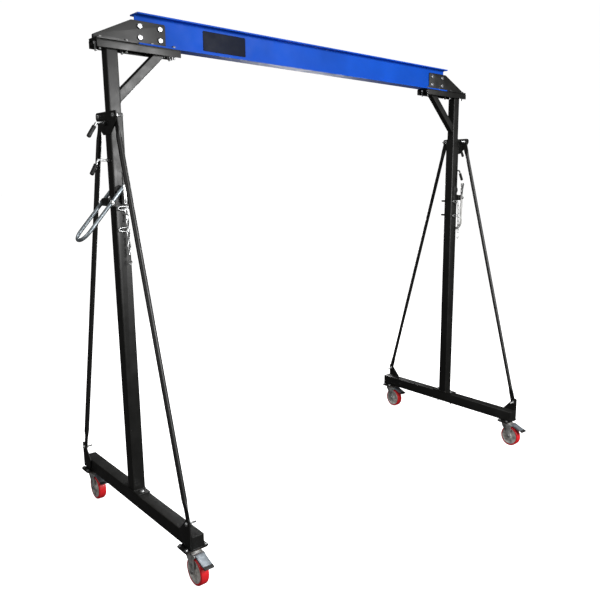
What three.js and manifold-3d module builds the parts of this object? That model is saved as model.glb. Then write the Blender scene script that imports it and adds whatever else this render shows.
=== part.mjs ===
// Portable gantry crane: a steel I-beam bolted to two telescopic side frames on braked casters.
// Millimetres, +Z up. +X runs along the beam, -Y is the side that carries the levers and pins.
// Each side frame is drawn once, at positive X with its outer side facing +X, and mirrored for the left.
import * as THREE from "three";
import { mergeVertices } from "three/addons/utils/BufferGeometryUtils.js";
import Module from "manifold-3d";

const wasm = await Module();
wasm.setup();

// Overall layout
const MAST_X = 1336; // centre of each mast and base tube
const GAP = 0.3; // between faces of separate pieces that touch
const GROUP_SHIFT_X = 41.144; // puts the origin at the middle of the footprint
const GROUP_SHIFT_Y = 53.5;

// Base
const BASE_WIDTH = 70;
const BASE_BOTTOM = 192;
const BASE_TOP = 267;
const BASE_HALF_LENGTH = 675;
const BASE_WALL = 4;
const DRAIN_RADIUS = 6;

// Masts
const OUTER_HALF = 35; // lower mast, 70 mm square
const OUTER_WALL = 4;
const OUTER_TOP = 2299;
const INNER_HALF = 30; // upper mast, 60 mm square
const INNER_WALL = 4;
const INNER_BOTTOM = 700;
const INNER_TOP = 2632.4;
const FOOT_HALF_LENGTH = 95;
const FOOT_THICKNESS = 8;
const FOOT_BOLT_Y = 68;
const OUTER_FACE = MAST_X + OUTER_HALF;

// Height pins, slot and pin guide
const HOLE_PITCH = 108;
const LIFT_PIN_Z = 1828;
const LOCK_PIN_Z = LIFT_PIN_Z - HOLE_PITCH;
const HOLE_COUNT = 9;
const PIN_RADIUS = 7;
const PIN_HOLE_RADIUS = 8.4;
const PIN_INNER_END = -30.7;
const SLOT_HALF = 13;
const SLOT_BOTTOM = 1800;
const SLOT_TOP = 2010;
const GUIDE_BACK = -41;

// Clamp screws
const SCREW_Z = [2246, 2065];
const SCREW_RADIUS = 6;
const SCREW_INNER_END = MAST_X + INNER_HALF + 0.35;
const SCREW_HOLE_RADIUS = 7;
const GRIP_RADIUS = 11;

// Collar, base ears and ties
const PLATE_IN = OUTER_FACE + GAP;
const PLATE_OUT = PLATE_IN + 6;
const TIE_TOP = [92, 2280]; // bolt positions as distance from mid-plane, height
const TIE_FOOT = [650, 328];
const TIE_RADIUS = 13.5;
const TIE_WALL = 2;
const TIE_FLAT_OUT = OUTER_FACE - GAP;
const TIE_FLAT_IN = TIE_FLAT_OUT - 6;
const TIE_FLAT_HALF_WIDTH = 19;
const TIE_FLAT_PAST_BOLT = 20;
const TIE_FLAT_LENGTH = 65;
const TIE_TAPER = 55;
const TIE_BOLT_RADIUS = 5;
const TIE_BOLT_END = 1328;

// Head channel, knee brace and beam
const CHANNEL_TOP = 2638.7;
const CHANNEL_BOTTOM = 2599;
const CHANNEL_HALF_WIDTH = 51;
const CHANNEL_THICKNESS = 6;
const CHANNEL_INNER_END = 975;
const CHANNEL_OUTER_END = 1416;
const KNEE_SUM = 3685; // x + z along the brace's centre line
const KNEE_HALF = 22.5;
const KNEE_WALL = 3;
const BEAM_BOTTOM = 2639;
const BEAM_TOP = 2791;
const BEAM_HALF_LENGTH = 1200;
const FLANGE_HALF_WIDTH = 44.5;
const FLANGE_THICKNESS = 7.7;
const WEB_HALF = 2.25;
const BEAM_STEPS = 5; // lengths that the beam's faces are drawn in, the middle one clear of all bolts

// Beam plates, one each side of the web
const BEAM_PLATE_IN = WEB_HALF + GAP;
const BEAM_PLATE_OUT = 10;
const PLATE_BOLTS = [[1068, 2732], [1178, 2732], [1068, 2677], [1178, 2677]];
const FLANGE_BOLTS_X = [1003, 1125];
const SHELF_BOLTS_X = [1261, 1394];
const FLANGE_BOLT_Y = 27;
const BOLT_TAIL = 43; // below the channel's web
const BOLT_TAIL_OVER_BRACE = 22;

// Jack lever and lift link
const LEVER_PIVOT = [1398, 1856];
const LEVER_LEG_Y = 58;
const LEVER_BAR_RADIUS = 9;
const LEVER_ABOVE = 112;
const LEVER_BELOW = 242;
const LEVER_STUB_RADIUS = 6;
const LEVER_STUB_INNER_END = 28;
const LEVER_BORE_RADIUS = 6.6;
const LEVER_REST_DEG = { left: 40, right: 0 }; // swing of the hanging end away from the mast
const LINK_REST_DEG = { left: 0, right: -13 };
const LINK_LENGTH = 80;
const LINK_PIN_RADIUS = 4;
const LINK_HOLE_RADIUS = 4.6;

// Casters
const CASTER_Y = 622;
const CASTER_PLATE_HALF = [63, 46];
const CASTER_BOLT_X = 52;
const CASTER_BOLT_Y = 32;
const CASTER_PLATE_BOTTOM = 179;
const WHEEL_RADIUS = 75;
const WHEEL_HALF_WIDTH = 23;
const WHEEL_SIDES = 28;
const WHEEL_BORE_RADIUS = 7;
const AXLE_RADIUS = 6;
const CASTER_TRAIL = 42;
const FORK_IN = 27;
const FORK_OUT = 31;
const FORK_TOP = 178.6;
const PEDAL_PIVOT = [-60, 163]; // distance from the swivel axis, height

function standardMaterial(colour, roughness, metalness) {
  return new THREE.MeshStandardMaterial({ color: colour, roughness, metalness });
}

const BLACK_COAT = standardMaterial(0x121211, 0.45, 0.1);
const BLUE_COAT = standardMaterial(0x1c46b4, 0.4, 0.1);
const ZINC = standardMaterial(0xb9bcbd, 0.35, 0.9);
const LEVER_STEEL = standardMaterial(0x7f8b93, 0.35, 0.8);
const RED_TREAD = standardMaterial(0xc8141c, 0.5, 0);
const BADGE_NAVY = standardMaterial(0x1c2030, 0.4, 0);
const GRIP_BLACK = standardMaterial(0x0b0b0b, 0.6, 0);

const AXIS = {
  x: new THREE.Vector3(1, 0, 0),
  y: new THREE.Vector3(0, 1, 0),
  z: new THREE.Vector3(0, 0, 1),
};

function toSolid(geometry) {
  const bare = geometry.clone();
  bare.deleteAttribute("normal");
  bare.deleteAttribute("uv");
  const merged = mergeVertices(bare, 1e-4);
  return new wasm.Manifold(
    new wasm.Mesh({
      numProp: 3,
      vertProperties: new Float32Array(merged.attributes.position.array),
      triVerts: new Uint32Array(merged.index.array),
    })
  );
}

function toGeometry(solid) {
  const mesh = solid.getMesh();
  const geometry = new THREE.BufferGeometry();
  geometry.setAttribute("position", new THREE.BufferAttribute(mesh.vertProperties, 3));
  geometry.setIndex(new THREE.BufferAttribute(mesh.triVerts, 1));
  geometry.computeVertexNormals();
  return geometry;
}

// Joins the first list of geometries into one body and cuts the second list out of it.
function shape(joined, cut = []) {
  let solid = toSolid(joined[0]);
  for (const extra of joined.slice(1)) {
    solid = solid.add(toSolid(extra));
  }
  for (const hole of cut) {
    solid = solid.subtract(toSolid(hole));
  }
  return toGeometry(solid);
}

function box(x, y, z) {
  const geometry = new THREE.BoxGeometry(x[1] - x[0], y[1] - y[0], z[1] - z[0]);
  return geometry.translate((x[0] + x[1]) / 2, (y[0] + y[1]) / 2, (z[0] + z[1]) / 2);
}

// A round bar between two points.
function rod(from, to, radius, sides = 14, endRadius = radius) {
  const start = new THREE.Vector3(...from);
  const end = new THREE.Vector3(...to);
  const direction = end.clone().sub(start);
  const geometry = new THREE.CylinderGeometry(endRadius, radius, direction.length(), sides);
  const turn = new THREE.Quaternion().setFromUnitVectors(AXIS.y, direction.clone().normalize());
  geometry.applyQuaternion(turn);
  const middle = start.add(end).multiplyScalar(0.5);
  return geometry.translate(middle.x, middle.y, middle.z);
}

function outline(points) {
  return new THREE.Shape(points.map(([a, b]) => new THREE.Vector2(a, b)));
}

// Outline in (x, z), thickness along y.
function plateY(points, yFrom, yTo) {
  const geometry = new THREE.ExtrudeGeometry(outline(points), { depth: yTo - yFrom, bevelEnabled: false });
  return geometry.rotateX(Math.PI / 2).translate(0, yTo, 0);
}

// Outline in (y, z), thickness along x.
function plateX(points, xFrom, xTo, steps = 1) {
  const settings = { depth: xTo - xFrom, steps, bevelEnabled: false };
  const geometry = new THREE.ExtrudeGeometry(outline(points), settings);
  return geometry.rotateX(Math.PI / 2).rotateZ(Math.PI / 2).translate(xFrom, 0, 0);
}

// A closed skin through a list of rings, each a list of the same number of points.
function loft(rings) {
  const count = rings[0].length;
  const positions = rings.flat(2);
  const index = [];
  for (let ring = 0; ring < rings.length - 1; ring += 1) {
    for (let k = 0; k < count; k += 1) {
      const a = ring * count + k;
      const b = ring * count + ((k + 1) % count);
      index.push(a, b, b + count, a, b + count, a + count);
    }
  }
  const last = (rings.length - 1) * count;
  for (let k = 1; k < count - 1; k += 1) {
    index.push(0, k + 1, k, last, last + k, last + k + 1);
  }
  const geometry = new THREE.BufferGeometry();
  geometry.setAttribute("position", new THREE.Float32BufferAttribute(positions, 3));
  geometry.setIndex(index);
  return enclosedVolume(positions, index) < 0 ? reversed(geometry) : geometry;
}

function enclosedVolume(positions, index) {
  const corner = (k) => new THREE.Vector3().fromArray(positions, 3 * index[k]);
  let volume = 0;
  for (let k = 0; k < index.length; k += 3) {
    volume += corner(k).dot(corner(k + 1).cross(corner(k + 2))) / 6;
  }
  return volume;
}

// Swaps two corners of each triangle, which turns the faces over.
function reversed(geometry) {
  const index = geometry.index.array;
  for (let k = 0; k < index.length; k += 3) {
    [index[k], index[k + 1]] = [index[k + 1], index[k]];
  }
  return geometry;
}

// A round bar bent along points that lie in one plane.
function bentBar(points, planeNormal, radius, sides = 10) {
  const path = points.map((point) => new THREE.Vector3(...point));
  const rings = path.map((point, i) => {
    const before = path[Math.max(i - 1, 0)];
    const after = path[Math.min(i + 1, path.length - 1)];
    const tangent = after.clone().sub(before).normalize();
    const side = tangent.clone().cross(planeNormal);
    return ringAround(point, planeNormal, side, radius, radius, sides);
  });
  return loft(rings);
}

function ringAround(centre, firstAxis, secondAxis, firstRadius, secondRadius, sides) {
  const ring = [];
  for (let k = 0; k < sides; k += 1) {
    const angle = (2 * Math.PI * k) / sides;
    const point = centre
      .clone()
      .addScaledVector(firstAxis, firstRadius * Math.cos(angle))
      .addScaledVector(secondAxis, secondRadius * Math.sin(angle));
    ring.push(point.toArray());
  }
  return ring;
}

// A hexagon head or nut with its axis along x, y or z, reaching from `from` to `to` on that axis.
function hexagon(axis, centre, from, to, acrossFlats) {
  const start = { ...centre, [axis]: from };
  const end = { ...centre, [axis]: to };
  const radius = acrossFlats / Math.sqrt(3);
  return rod([start.x, start.y, start.z], [end.x, end.y, end.z], radius, 6);
}

// Turns a geometry about an axis through a point.
function turned(geometry, axisName, [a, b], degrees) {
  const pivot = axisName === "y" ? new THREE.Vector3(a, 0, b) : new THREE.Vector3(0, a, b);
  const turn = new THREE.Quaternion().setFromAxisAngle(AXIS[axisName], THREE.MathUtils.degToRad(degrees));
  geometry.translate(-pivot.x, -pivot.y, -pivot.z);
  geometry.applyQuaternion(turn);
  return geometry.translate(pivot.x, pivot.y, pivot.z);
}

function baseTube() {
  const half = BASE_WIDTH / 2;
  const inner = half - BASE_WALL;
  const end = BASE_HALF_LENGTH;
  const x = [MAST_X - half, MAST_X + half];
  const body = [box(x, [-end, end], [BASE_BOTTOM, BASE_TOP])];
  for (const y of [-FOOT_BOLT_Y, FOOT_BOLT_Y]) {
    body.push(hexagon("z", { x: MAST_X, y }, BASE_BOTTOM - 9, BASE_BOTTOM + 1, 18));
    body.push(rod([MAST_X, y, BASE_BOTTOM - 18], [MAST_X, y, BASE_BOTTOM], 6));
  }
  const hollow = box(
    [MAST_X - inner, MAST_X + inner],
    [-end + BASE_WALL, end - BASE_WALL],
    [BASE_BOTTOM + BASE_WALL, BASE_TOP - BASE_WALL]
  );
  const drainY = BASE_HALF_LENGTH - 140;
  const drain = rod([MAST_X, drainY, BASE_BOTTOM - 5], [MAST_X, drainY, BASE_BOTTOM + 10], DRAIN_RADIUS);
  return shape(body, [hollow, drain]);
}

function baseEar(end) {
  const points = [
    [565, BASE_TOP + 1],
    [640, 345],
    [656, 357],
    [669, 358],
    [676, 350],
    [676, 200],
    [590, 200],
    [578, 212],
  ];
  const plate = plateX(points.map(([y, z]) => [end * y, z]), PLATE_IN, PLATE_OUT);
  const [y, z] = [end * TIE_FOOT[0], TIE_FOOT[1]];
  return shape([plate, ...tieBolt(y, z)]);
}

// Head outside the plate, shank through the tie's flat end, nut and tail on the inside.
function tieBolt(y, z) {
  return [
    hexagon("x", { y, z }, PLATE_OUT - 1, PLATE_OUT + 7, 17),
    rod([TIE_BOLT_END, y, z], [PLATE_OUT, y, z], TIE_BOLT_RADIUS, 12),
    hexagon("x", { y, z }, TIE_FLAT_IN - 9, TIE_FLAT_IN - 0.5, 17),
  ];
}

function tie(end) {
  const top = new THREE.Vector3(0, end * TIE_TOP[0], TIE_TOP[1]);
  const foot = new THREE.Vector3(0, end * TIE_FOOT[0], TIE_FOOT[1]);
  const along = foot.clone().sub(top).normalize();
  const length = top.distanceTo(foot);
  const across = along.clone().cross(AXIS.x);
  const flatX = (TIE_FLAT_IN + TIE_FLAT_OUT) / 2;
  const flatHalf = (TIE_FLAT_OUT - TIE_FLAT_IN) / 2;
  const stations = [
    [-TIE_FLAT_PAST_BOLT, flatHalf, TIE_FLAT_HALF_WIDTH],
    [TIE_FLAT_LENGTH, flatHalf, TIE_FLAT_HALF_WIDTH],
    [TIE_FLAT_LENGTH + TIE_TAPER, TIE_RADIUS, TIE_RADIUS],
    [length - TIE_FLAT_LENGTH - TIE_TAPER, TIE_RADIUS, TIE_RADIUS],
    [length - TIE_FLAT_LENGTH, flatHalf, TIE_FLAT_HALF_WIDTH],
    [length + TIE_FLAT_PAST_BOLT, flatHalf, TIE_FLAT_HALF_WIDTH],
  ];
  const rings = stations.map(([distance, thick, wide]) => {
    const centre = top.clone().addScaledVector(along, distance).setX(flatX);
    return flattenedRing(centre, across, thick, wide);
  });
  const hollowFrom = top.clone().addScaledVector(along, TIE_FLAT_LENGTH + TIE_TAPER).setX(flatX);
  const hollowTo = top.clone().addScaledVector(along, length - TIE_FLAT_LENGTH - TIE_TAPER).setX(flatX);
  const cuts = [rod(hollowFrom.toArray(), hollowTo.toArray(), TIE_RADIUS - TIE_WALL, 12)];
  cuts.push(rod([flatX, hollowTo.y, hollowTo.z + 30], [flatX - 20, hollowTo.y, hollowTo.z + 30], 2.5, 8));
  for (const bolt of [top, foot]) {
    cuts.push(rod([TIE_FLAT_IN - 20, bolt.y, bolt.z], [PLATE_OUT + 20, bolt.y, bolt.z], TIE_BOLT_RADIUS + 0.8, 12));
  }
  return shape([loft(rings)], cuts);
}

// A ring between a circle and a rounded rectangle, in the plane of x and `across`.
function flattenedRing(centre, across, halfThickness, halfWidth) {
  const power = halfThickness < halfWidth / 2 ? 0.25 : 1;
  const ring = [];
  const sides = 12;
  for (let k = 0; k < sides; k += 1) {
    const angle = (2 * Math.PI * (k + 0.5)) / sides;
    const c = Math.cos(angle);
    const s = Math.sin(angle);
    const point = centre
      .clone()
      .addScaledVector(across, halfWidth * Math.sign(c) * Math.abs(c) ** power)
      .addScaledVector(AXIS.x, halfThickness * Math.sign(s) * Math.abs(s) ** power);
    ring.push(point.toArray());
  }
  return ring;
}

function squareTube(half, wall, zFrom, zTo) {
  const outer = box([MAST_X - half, MAST_X + half], [-half, half], [zFrom, zTo]);
  const inner = half - wall;
  const hollow = box([MAST_X - inner, MAST_X + inner], [-inner, inner], [zFrom - 50, zTo + 50]);
  return { outer, hollow };
}

function screwNut(z, xFrom, xTo) {
  return hexagon("x", { y: 0, z }, xFrom, xTo, 22);
}

function lowerMast() {
  const bottom = BASE_TOP + GAP;
  const tube = squareTube(OUTER_HALF, OUTER_WALL, bottom, OUTER_TOP);
  const x = [MAST_X - OUTER_HALF, MAST_X + OUTER_HALF];
  const foot = box(x, [-FOOT_HALF_LENGTH, FOOT_HALF_LENGTH], [bottom, bottom + FOOT_THICKNESS]);
  const slot = box([MAST_X - SLOT_HALF, MAST_X + SLOT_HALF], [-60, 60], [SLOT_BOTTOM, SLOT_TOP]);
  const lockHole = rod([MAST_X, -60, LOCK_PIN_Z], [MAST_X, 60, LOCK_PIN_Z], PIN_HOLE_RADIUS, 12);
  const joined = [tube.outer, foot, screwNut(SCREW_Z[1], OUTER_FACE - 1, OUTER_FACE + 12)];
  for (const y of [-FOOT_BOLT_Y, FOOT_BOLT_Y]) {
    joined.push(hexagon("z", { x: MAST_X, y }, bottom + 7, bottom + FOOT_THICKNESS + 8, 19));
  }
  const guide = [
    [1318, 1845],
    [1338, 1845],
    [1338, 1893],
    [1362, 1893],
    [1370, 1912],
    [1366, 1932],
    [1350, 1943],
    [1332, 1939],
    [1320, 1924],
  ];
  joined.push(plateY(guide, GUIDE_BACK, -OUTER_HALF + 1));
  const cuts = [tube.hollow, slotBehindGuide(slot), lockHole];
  for (const z of SCREW_Z) {
    cuts.push(rod([OUTER_FACE - 10, 0, z], [OUTER_FACE + 30, 0, z], SCREW_HOLE_RADIUS, 14));
  }
  return shape(joined, cuts);
}

// The guide plate covers part of the slot, so the slot is only cut through the tube's walls.
function slotBehindGuide(slot) {
  const keep = box([MAST_X - 100, MAST_X + 100], [-OUTER_HALF, 60], [SLOT_BOTTOM - 10, SLOT_TOP + 10]);
  return toGeometry(toSolid(slot).intersect(toSolid(keep)));
}

function mastCollar() {
  const points = [
    [-112, 2302],
    [112, 2302],
    [122, 2294],
    [125, 2280],
    [105, 2240],
    [43, 2190],
    [-43, 2190],
    [-105, 2240],
    [-125, 2280],
    [-122, 2294],
  ];
  const joined = [plateX(points, PLATE_IN, PLATE_OUT), screwNut(SCREW_Z[0], PLATE_OUT - 1, PLATE_OUT + 12)];
  for (const end of [-1, 1]) {
    joined.push(...tieBolt(end * TIE_TOP[0], TIE_TOP[1]));
  }
  const hole = rod([PLATE_IN - 5, 0, SCREW_Z[0]], [PLATE_OUT + 20, 0, SCREW_Z[0]], SCREW_HOLE_RADIUS, 14);
  return shape(joined, [hole]);
}

function clampScrew(z, elbowX, gripFrom, gripTo) {
  const bar = bentBar(
    [[SCREW_INNER_END, 0, z], [elbowX - 8, 0, z], [elbowX, 0, z - 3], gripFrom],
    AXIS.y,
    SCREW_RADIUS
  );
  return shape([bar, rod(gripFrom, gripTo, GRIP_RADIUS, 14)]);
}

function upperMast() {
  const tube = squareTube(INNER_HALF, INNER_WALL, INNER_BOTTOM, INNER_TOP);
  const cuts = [tube.hollow];
  for (let k = 0; k < HOLE_COUNT; k += 1) {
    const z = LIFT_PIN_Z - k * HOLE_PITCH;
    cuts.push(rod([MAST_X, -60, z], [MAST_X, 60, z], PIN_HOLE_RADIUS, 8));
  }
  return shape([tube.outer], cuts);
}

function headChannel() {
  const x = [CHANNEL_INNER_END, CHANNEL_OUTER_END];
  const inner = CHANNEL_HALF_WIDTH - CHANNEL_THICKNESS;
  const webBottom = CHANNEL_TOP - CHANNEL_THICKNESS;
  const joined = [box(x, [-CHANNEL_HALF_WIDTH, CHANNEL_HALF_WIDTH], [CHANNEL_BOTTOM, CHANNEL_TOP])];
  const cuts = [box([x[0] - 10, x[1] + 10], [-inner, inner], [CHANNEL_BOTTOM - 10, webBottom])];
  const channel = shape(joined, cuts);
  const nuts = [];
  for (const boltX of [...FLANGE_BOLTS_X, ...SHELF_BOLTS_X]) {
    const tail = boltX === FLANGE_BOLTS_X[1] ? BOLT_TAIL_OVER_BRACE : BOLT_TAIL;
    for (const y of [-FLANGE_BOLT_Y, FLANGE_BOLT_Y]) {
      nuts.push(hexagon("z", { x: boltX, y }, webBottom - 10, webBottom + 1, 18));
      nuts.push(rod([boltX, y, webBottom - tail], [boltX, y, webBottom], 6, 8));
    }
  }
  return shape([channel, ...nuts]);
}

function kneeBrace() {
  const highEnd = INNER_TOP;
  const lowEnd = MAST_X - INNER_HALF - GAP;
  const half = KNEE_HALF * Math.SQRT2;
  const inner = (KNEE_HALF - KNEE_WALL) * Math.SQRT2;
  const corner = (offset, x, z) => (x === null ? [KNEE_SUM + offset - z, z] : [x, KNEE_SUM + offset - x]);
  const section = (offset, x, z) => [
    corner(-offset, x, null),
    corner(offset, x, null),
    corner(offset, null, z),
    corner(-offset, null, z),
  ];
  const outer = plateY(section(half, lowEnd, highEnd), -KNEE_HALF, KNEE_HALF);
  const innerWidth = KNEE_HALF - KNEE_WALL;
  const hollow = plateY(section(inner, lowEnd + 60, highEnd + 60), -innerWidth, innerWidth);
  return shape([outer], [hollow]);
}

function beam() {
  const lowTop = BEAM_BOTTOM + FLANGE_THICKNESS;
  const highBottom = BEAM_TOP - FLANGE_THICKNESS;
  const rightHalf = [
    [FLANGE_HALF_WIDTH, BEAM_BOTTOM],
    [FLANGE_HALF_WIDTH, lowTop],
    [WEB_HALF, lowTop],
    [WEB_HALF, highBottom],
    [FLANGE_HALF_WIDTH, highBottom],
    [FLANGE_HALF_WIDTH, BEAM_TOP],
  ];
  const leftHalf = rightHalf.map(([y, z]) => [-y, z]).reverse();
  const section = [...rightHalf, ...leftHalf];
  const heads = [];
  for (const boltX of FLANGE_BOLTS_X) {
    for (const x of [-boltX, boltX]) {
      for (const y of [-FLANGE_BOLT_Y, FLANGE_BOLT_Y]) {
        heads.push(hexagon("z", { x, y }, lowTop - 1, lowTop + 8, 18));
      }
    }
  }
  return shape([plateX(section, -BEAM_HALF_LENGTH, BEAM_HALF_LENGTH, BEAM_STEPS), ...heads]);
}

function badge() {
  return box([-814, -543], [-WEB_HALF - 2.3, -WEB_HALF - GAP], [2663, 2766]);
}

function beamPlate(side) {
  const shelfBottom = CHANNEL_TOP + GAP;
  const clearOfFlange = BEAM_BOTTOM + FLANGE_THICKNESS + GAP;
  const points = [
    [1037, clearOfFlange],
    [1203, clearOfFlange],
    [1203, shelfBottom],
    [1416, shelfBottom],
    [1416, 2662],
    [1222, 2756],
    [1212, 2758],
    [1045, 2758],
    [1037, 2750],
  ];
  const order = (from, to) => (side < 0 ? [-to, -from] : [from, to]);
  const joined = [plateY(points, ...order(BEAM_PLATE_IN, BEAM_PLATE_OUT))];
  joined.push(box([1205, 1416], order(BEAM_PLATE_OUT - 1, 50), [shelfBottom, shelfBottom + 6]));
  for (const [x, z] of PLATE_BOLTS) {
    joined.push(hexagon("y", { x, z }, side * (BEAM_PLATE_OUT - 1), side * (BEAM_PLATE_OUT + 10), 24));
  }
  for (const x of SHELF_BOLTS_X) {
    const z = shelfBottom + 5;
    joined.push(hexagon("z", { x, y: side * (FLANGE_BOLT_Y + 2) }, z, z + 9, 18));
  }
  return shape(joined);
}

function leverBracket() {
  const [x, z] = LEVER_PIVOT;
  const block = box([PLATE_IN, x + 12], [-46, 46], [z - 20, z + 21]);
  const bore = rod([x, -60, z], [x, 60, z], LEVER_BORE_RADIUS, 16);
  return shape([block], [bore]);
}

// A round bar bent to a U, hung on two short stubs, with the link's pin outside its near leg.
function jackLever(restDegrees) {
  const [x, z] = LEVER_PIVOT;
  const path = [[x, -LEVER_LEG_Y, z + LEVER_ABOVE]];
  const bendZ = z - LEVER_BELOW + LEVER_LEG_Y;
  const steps = 8;
  for (let k = 0; k <= steps; k += 1) {
    const angle = (Math.PI * k) / steps;
    path.push([x, -LEVER_LEG_Y * Math.cos(angle), bendZ - LEVER_LEG_Y * Math.sin(angle)]);
  }
  path.push([x, LEVER_LEG_Y, z + LEVER_ABOVE]);
  const joined = [bentBar(path, AXIS.x, LEVER_BAR_RADIUS)];
  for (const side of [-1, 1]) {
    const y = side * LEVER_LEG_Y;
    joined.push(rod([x, side * LEVER_STUB_INNER_END, z], [x, y, z], LEVER_STUB_RADIUS, 16));
    joined.push(hexagon("y", { x, z }, y, y + side * 15, 17));
  }
  const pinZ = z + LEVER_ABOVE - 8;
  joined.push(rod([x, -LEVER_LEG_Y, pinZ], [x, -LEVER_LEG_Y - 19, pinZ], LINK_PIN_RADIUS, 12));
  return turned(shape(joined), "y", LEVER_PIVOT, -restDegrees);
}

function leverPinPosition(restDegrees) {
  const angle = THREE.MathUtils.degToRad(restDegrees);
  const reach = LEVER_ABOVE - 8;
  return [LEVER_PIVOT[0] - reach * Math.sin(angle), LEVER_PIVOT[1] + reach * Math.cos(angle)];
}

function liftLink(leverDegrees, linkDegrees) {
  const [x, z] = leverPinPosition(leverDegrees);
  const yBack = -LEVER_LEG_Y - LEVER_BAR_RADIUS - 6;
  const yFront = -LEVER_LEG_Y - LEVER_BAR_RADIUS - 0.6;
  const eye = (atZ) => rod([x, yBack, atZ], [x, yFront, atZ], 9, 14);
  const bar = box([x - 8, x + 8], [yBack, yFront], [z - LINK_LENGTH, z]);
  const hole = rod([x, yBack - 5, z], [x, yFront + 5, z], LINK_HOLE_RADIUS, 12);
  const link = shape([bar, eye(z), eye(z - LINK_LENGTH)], [hole]);
  return turned(link, "y", [x, z], -linkDegrees);
}

function heightPin(z) {
  const flangeBack = GUIDE_BACK - 5;
  const shank = rod([MAST_X, flangeBack, z], [MAST_X, PIN_INNER_END, z], PIN_RADIUS, 12);
  const head = rod([MAST_X, flangeBack, z], [MAST_X, -OUTER_HALF - 1, z], 12, 14);
  return shape([shank, head]);
}

// The retaining chain hangs from the lift pin's head, beside the lock pin.
function pinChain() {
  const y = GUIDE_BACK - 13;
  return bentBar(
    [
      [1325, y, LIFT_PIN_Z - 8],
      [1318, y, LIFT_PIN_Z - 24],
      [1316, y, LIFT_PIN_Z - 120],
      [1318, y, LIFT_PIN_Z - 272],
    ],
    AXIS.y,
    3,
    8
  );
}

function casterMount(y) {
  const [halfX, halfY] = CASTER_PLATE_HALF;
  const x = [MAST_X - halfX, MAST_X + halfX];
  const top = BASE_BOTTOM - GAP;
  const joined = [box(x, [y - halfY, y + halfY], [CASTER_PLATE_BOTTOM, top])];
  for (const sideX of [-1, 1]) {
    for (const sideY of [-1, 1]) {
      const centre = { x: MAST_X + sideX * CASTER_BOLT_X, y: y + sideY * CASTER_BOLT_Y };
      joined.push(hexagon("z", centre, top - 1, top + 8, 16));
    }
  }
  return shape(joined);
}

function casterFork(y) {
  const wheelY = y - CASTER_TRAIL;
  const side = [
    [y - 56, 150],
    [y - 70, 158],
    [y - 68, 170],
    [y + 24, 170],
    [y + 24, 158],
    [wheelY + 16, 80],
    [wheelY + 12, 65],
    [wheelY, 60],
    [wheelY - 12, 65],
    [wheelY - 16, 80],
  ];
  const joined = [
    rod([MAST_X, y, 164], [MAST_X, y, FORK_TOP], 36, 20),
    box([MAST_X - FORK_OUT, MAST_X + FORK_OUT], [y - 44, y + 24], [164, 170]),
    rod([MAST_X - FORK_OUT - 6, wheelY, WHEEL_RADIUS], [MAST_X + FORK_OUT + 6, wheelY, WHEEL_RADIUS], AXLE_RADIUS, 12),
  ];
  for (const sideX of [-1, 1]) {
    const from = MAST_X + (sideX < 0 ? -FORK_OUT : FORK_IN);
    joined.push(plateX(side, from, from + FORK_OUT - FORK_IN));
    const nutFrom = MAST_X + sideX * (FORK_OUT - 1);
    joined.push(hexagon("x", { y: wheelY, z: WHEEL_RADIUS }, nutFrom, nutFrom + sideX * 7, 19));
  }
  return shape(joined);
}

function brakePedal(y) {
  const [pivotY, pivotZ] = PEDAL_PIVOT;
  const points = [
    [y + pivotY + 8, pivotZ + 6],
    [y - 70, 172],
    [y - 118, 152],
    [y - 152, 141],
    [y - 161, 136],
    [y - 160, 130],
    [y - 120, 138],
    [y - 74, 158],
    [y + pivotY - 3, pivotZ - 5],
    [y + pivotY + 7, pivotZ - 4],
  ];
  const half = FORK_IN - 2;
  return shape([plateX(points, MAST_X - half, MAST_X + half)]);
}

function casterWheel(y) {
  const rim = WHEEL_RADIUS / Math.cos(Math.PI / WHEEL_SIDES); // a flat of the rim rests on the floor
  const profile = [
    [WHEEL_BORE_RADIUS, -WHEEL_HALF_WIDTH - 2],
    [20, -WHEEL_HALF_WIDTH - 2],
    [20, -WHEEL_HALF_WIDTH + 3],
    [58, -WHEEL_HALF_WIDTH],
    [rim, -WHEEL_HALF_WIDTH + 4],
    [rim, WHEEL_HALF_WIDTH - 4],
    [58, WHEEL_HALF_WIDTH],
    [20, WHEEL_HALF_WIDTH - 3],
    [20, WHEEL_HALF_WIDTH + 2],
    [WHEEL_BORE_RADIUS, WHEEL_HALF_WIDTH + 2],
    [WHEEL_BORE_RADIUS, -WHEEL_HALF_WIDTH - 2],
  ];
  const points = profile.map(([radius, height]) => new THREE.Vector2(radius, height));
  const wheel = new THREE.LatheGeometry(points, WHEEL_SIDES, Math.PI / WHEEL_SIDES).rotateZ(Math.PI / 2);
  return shape([wheel.translate(MAST_X, y - CASTER_TRAIL, WHEEL_RADIUS)]);
}

// Mirrors a right-hand piece for the left side and keeps its faces pointing out.
function mirrored(geometry) {
  const flipped = reversed(geometry.clone().scale(-1, 1, 1));
  flipped.computeVertexNormals();
  return flipped;
}

const crane = new THREE.Group();
crane.position.set(GROUP_SHIFT_X, GROUP_SHIFT_Y, 0);

function add(parent, name, geometry, material) {
  const mesh = new THREE.Mesh(geometry, material);
  mesh.name = name;
  parent.add(mesh);
}

function addCaster(group, side, place, y, addPiece) {
  addPiece(`${side}_${place}_caster_mount`, casterMount(y), BLACK_COAT);
  addPiece(`${side}_${place}_caster_fork`, casterFork(y), ZINC);
  addPiece(`${side}_${place}_caster_wheel`, casterWheel(y), RED_TREAD);
  addPiece(`${side}_${place}_brake_pedal`, brakePedal(y), ZINC);
}

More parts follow.
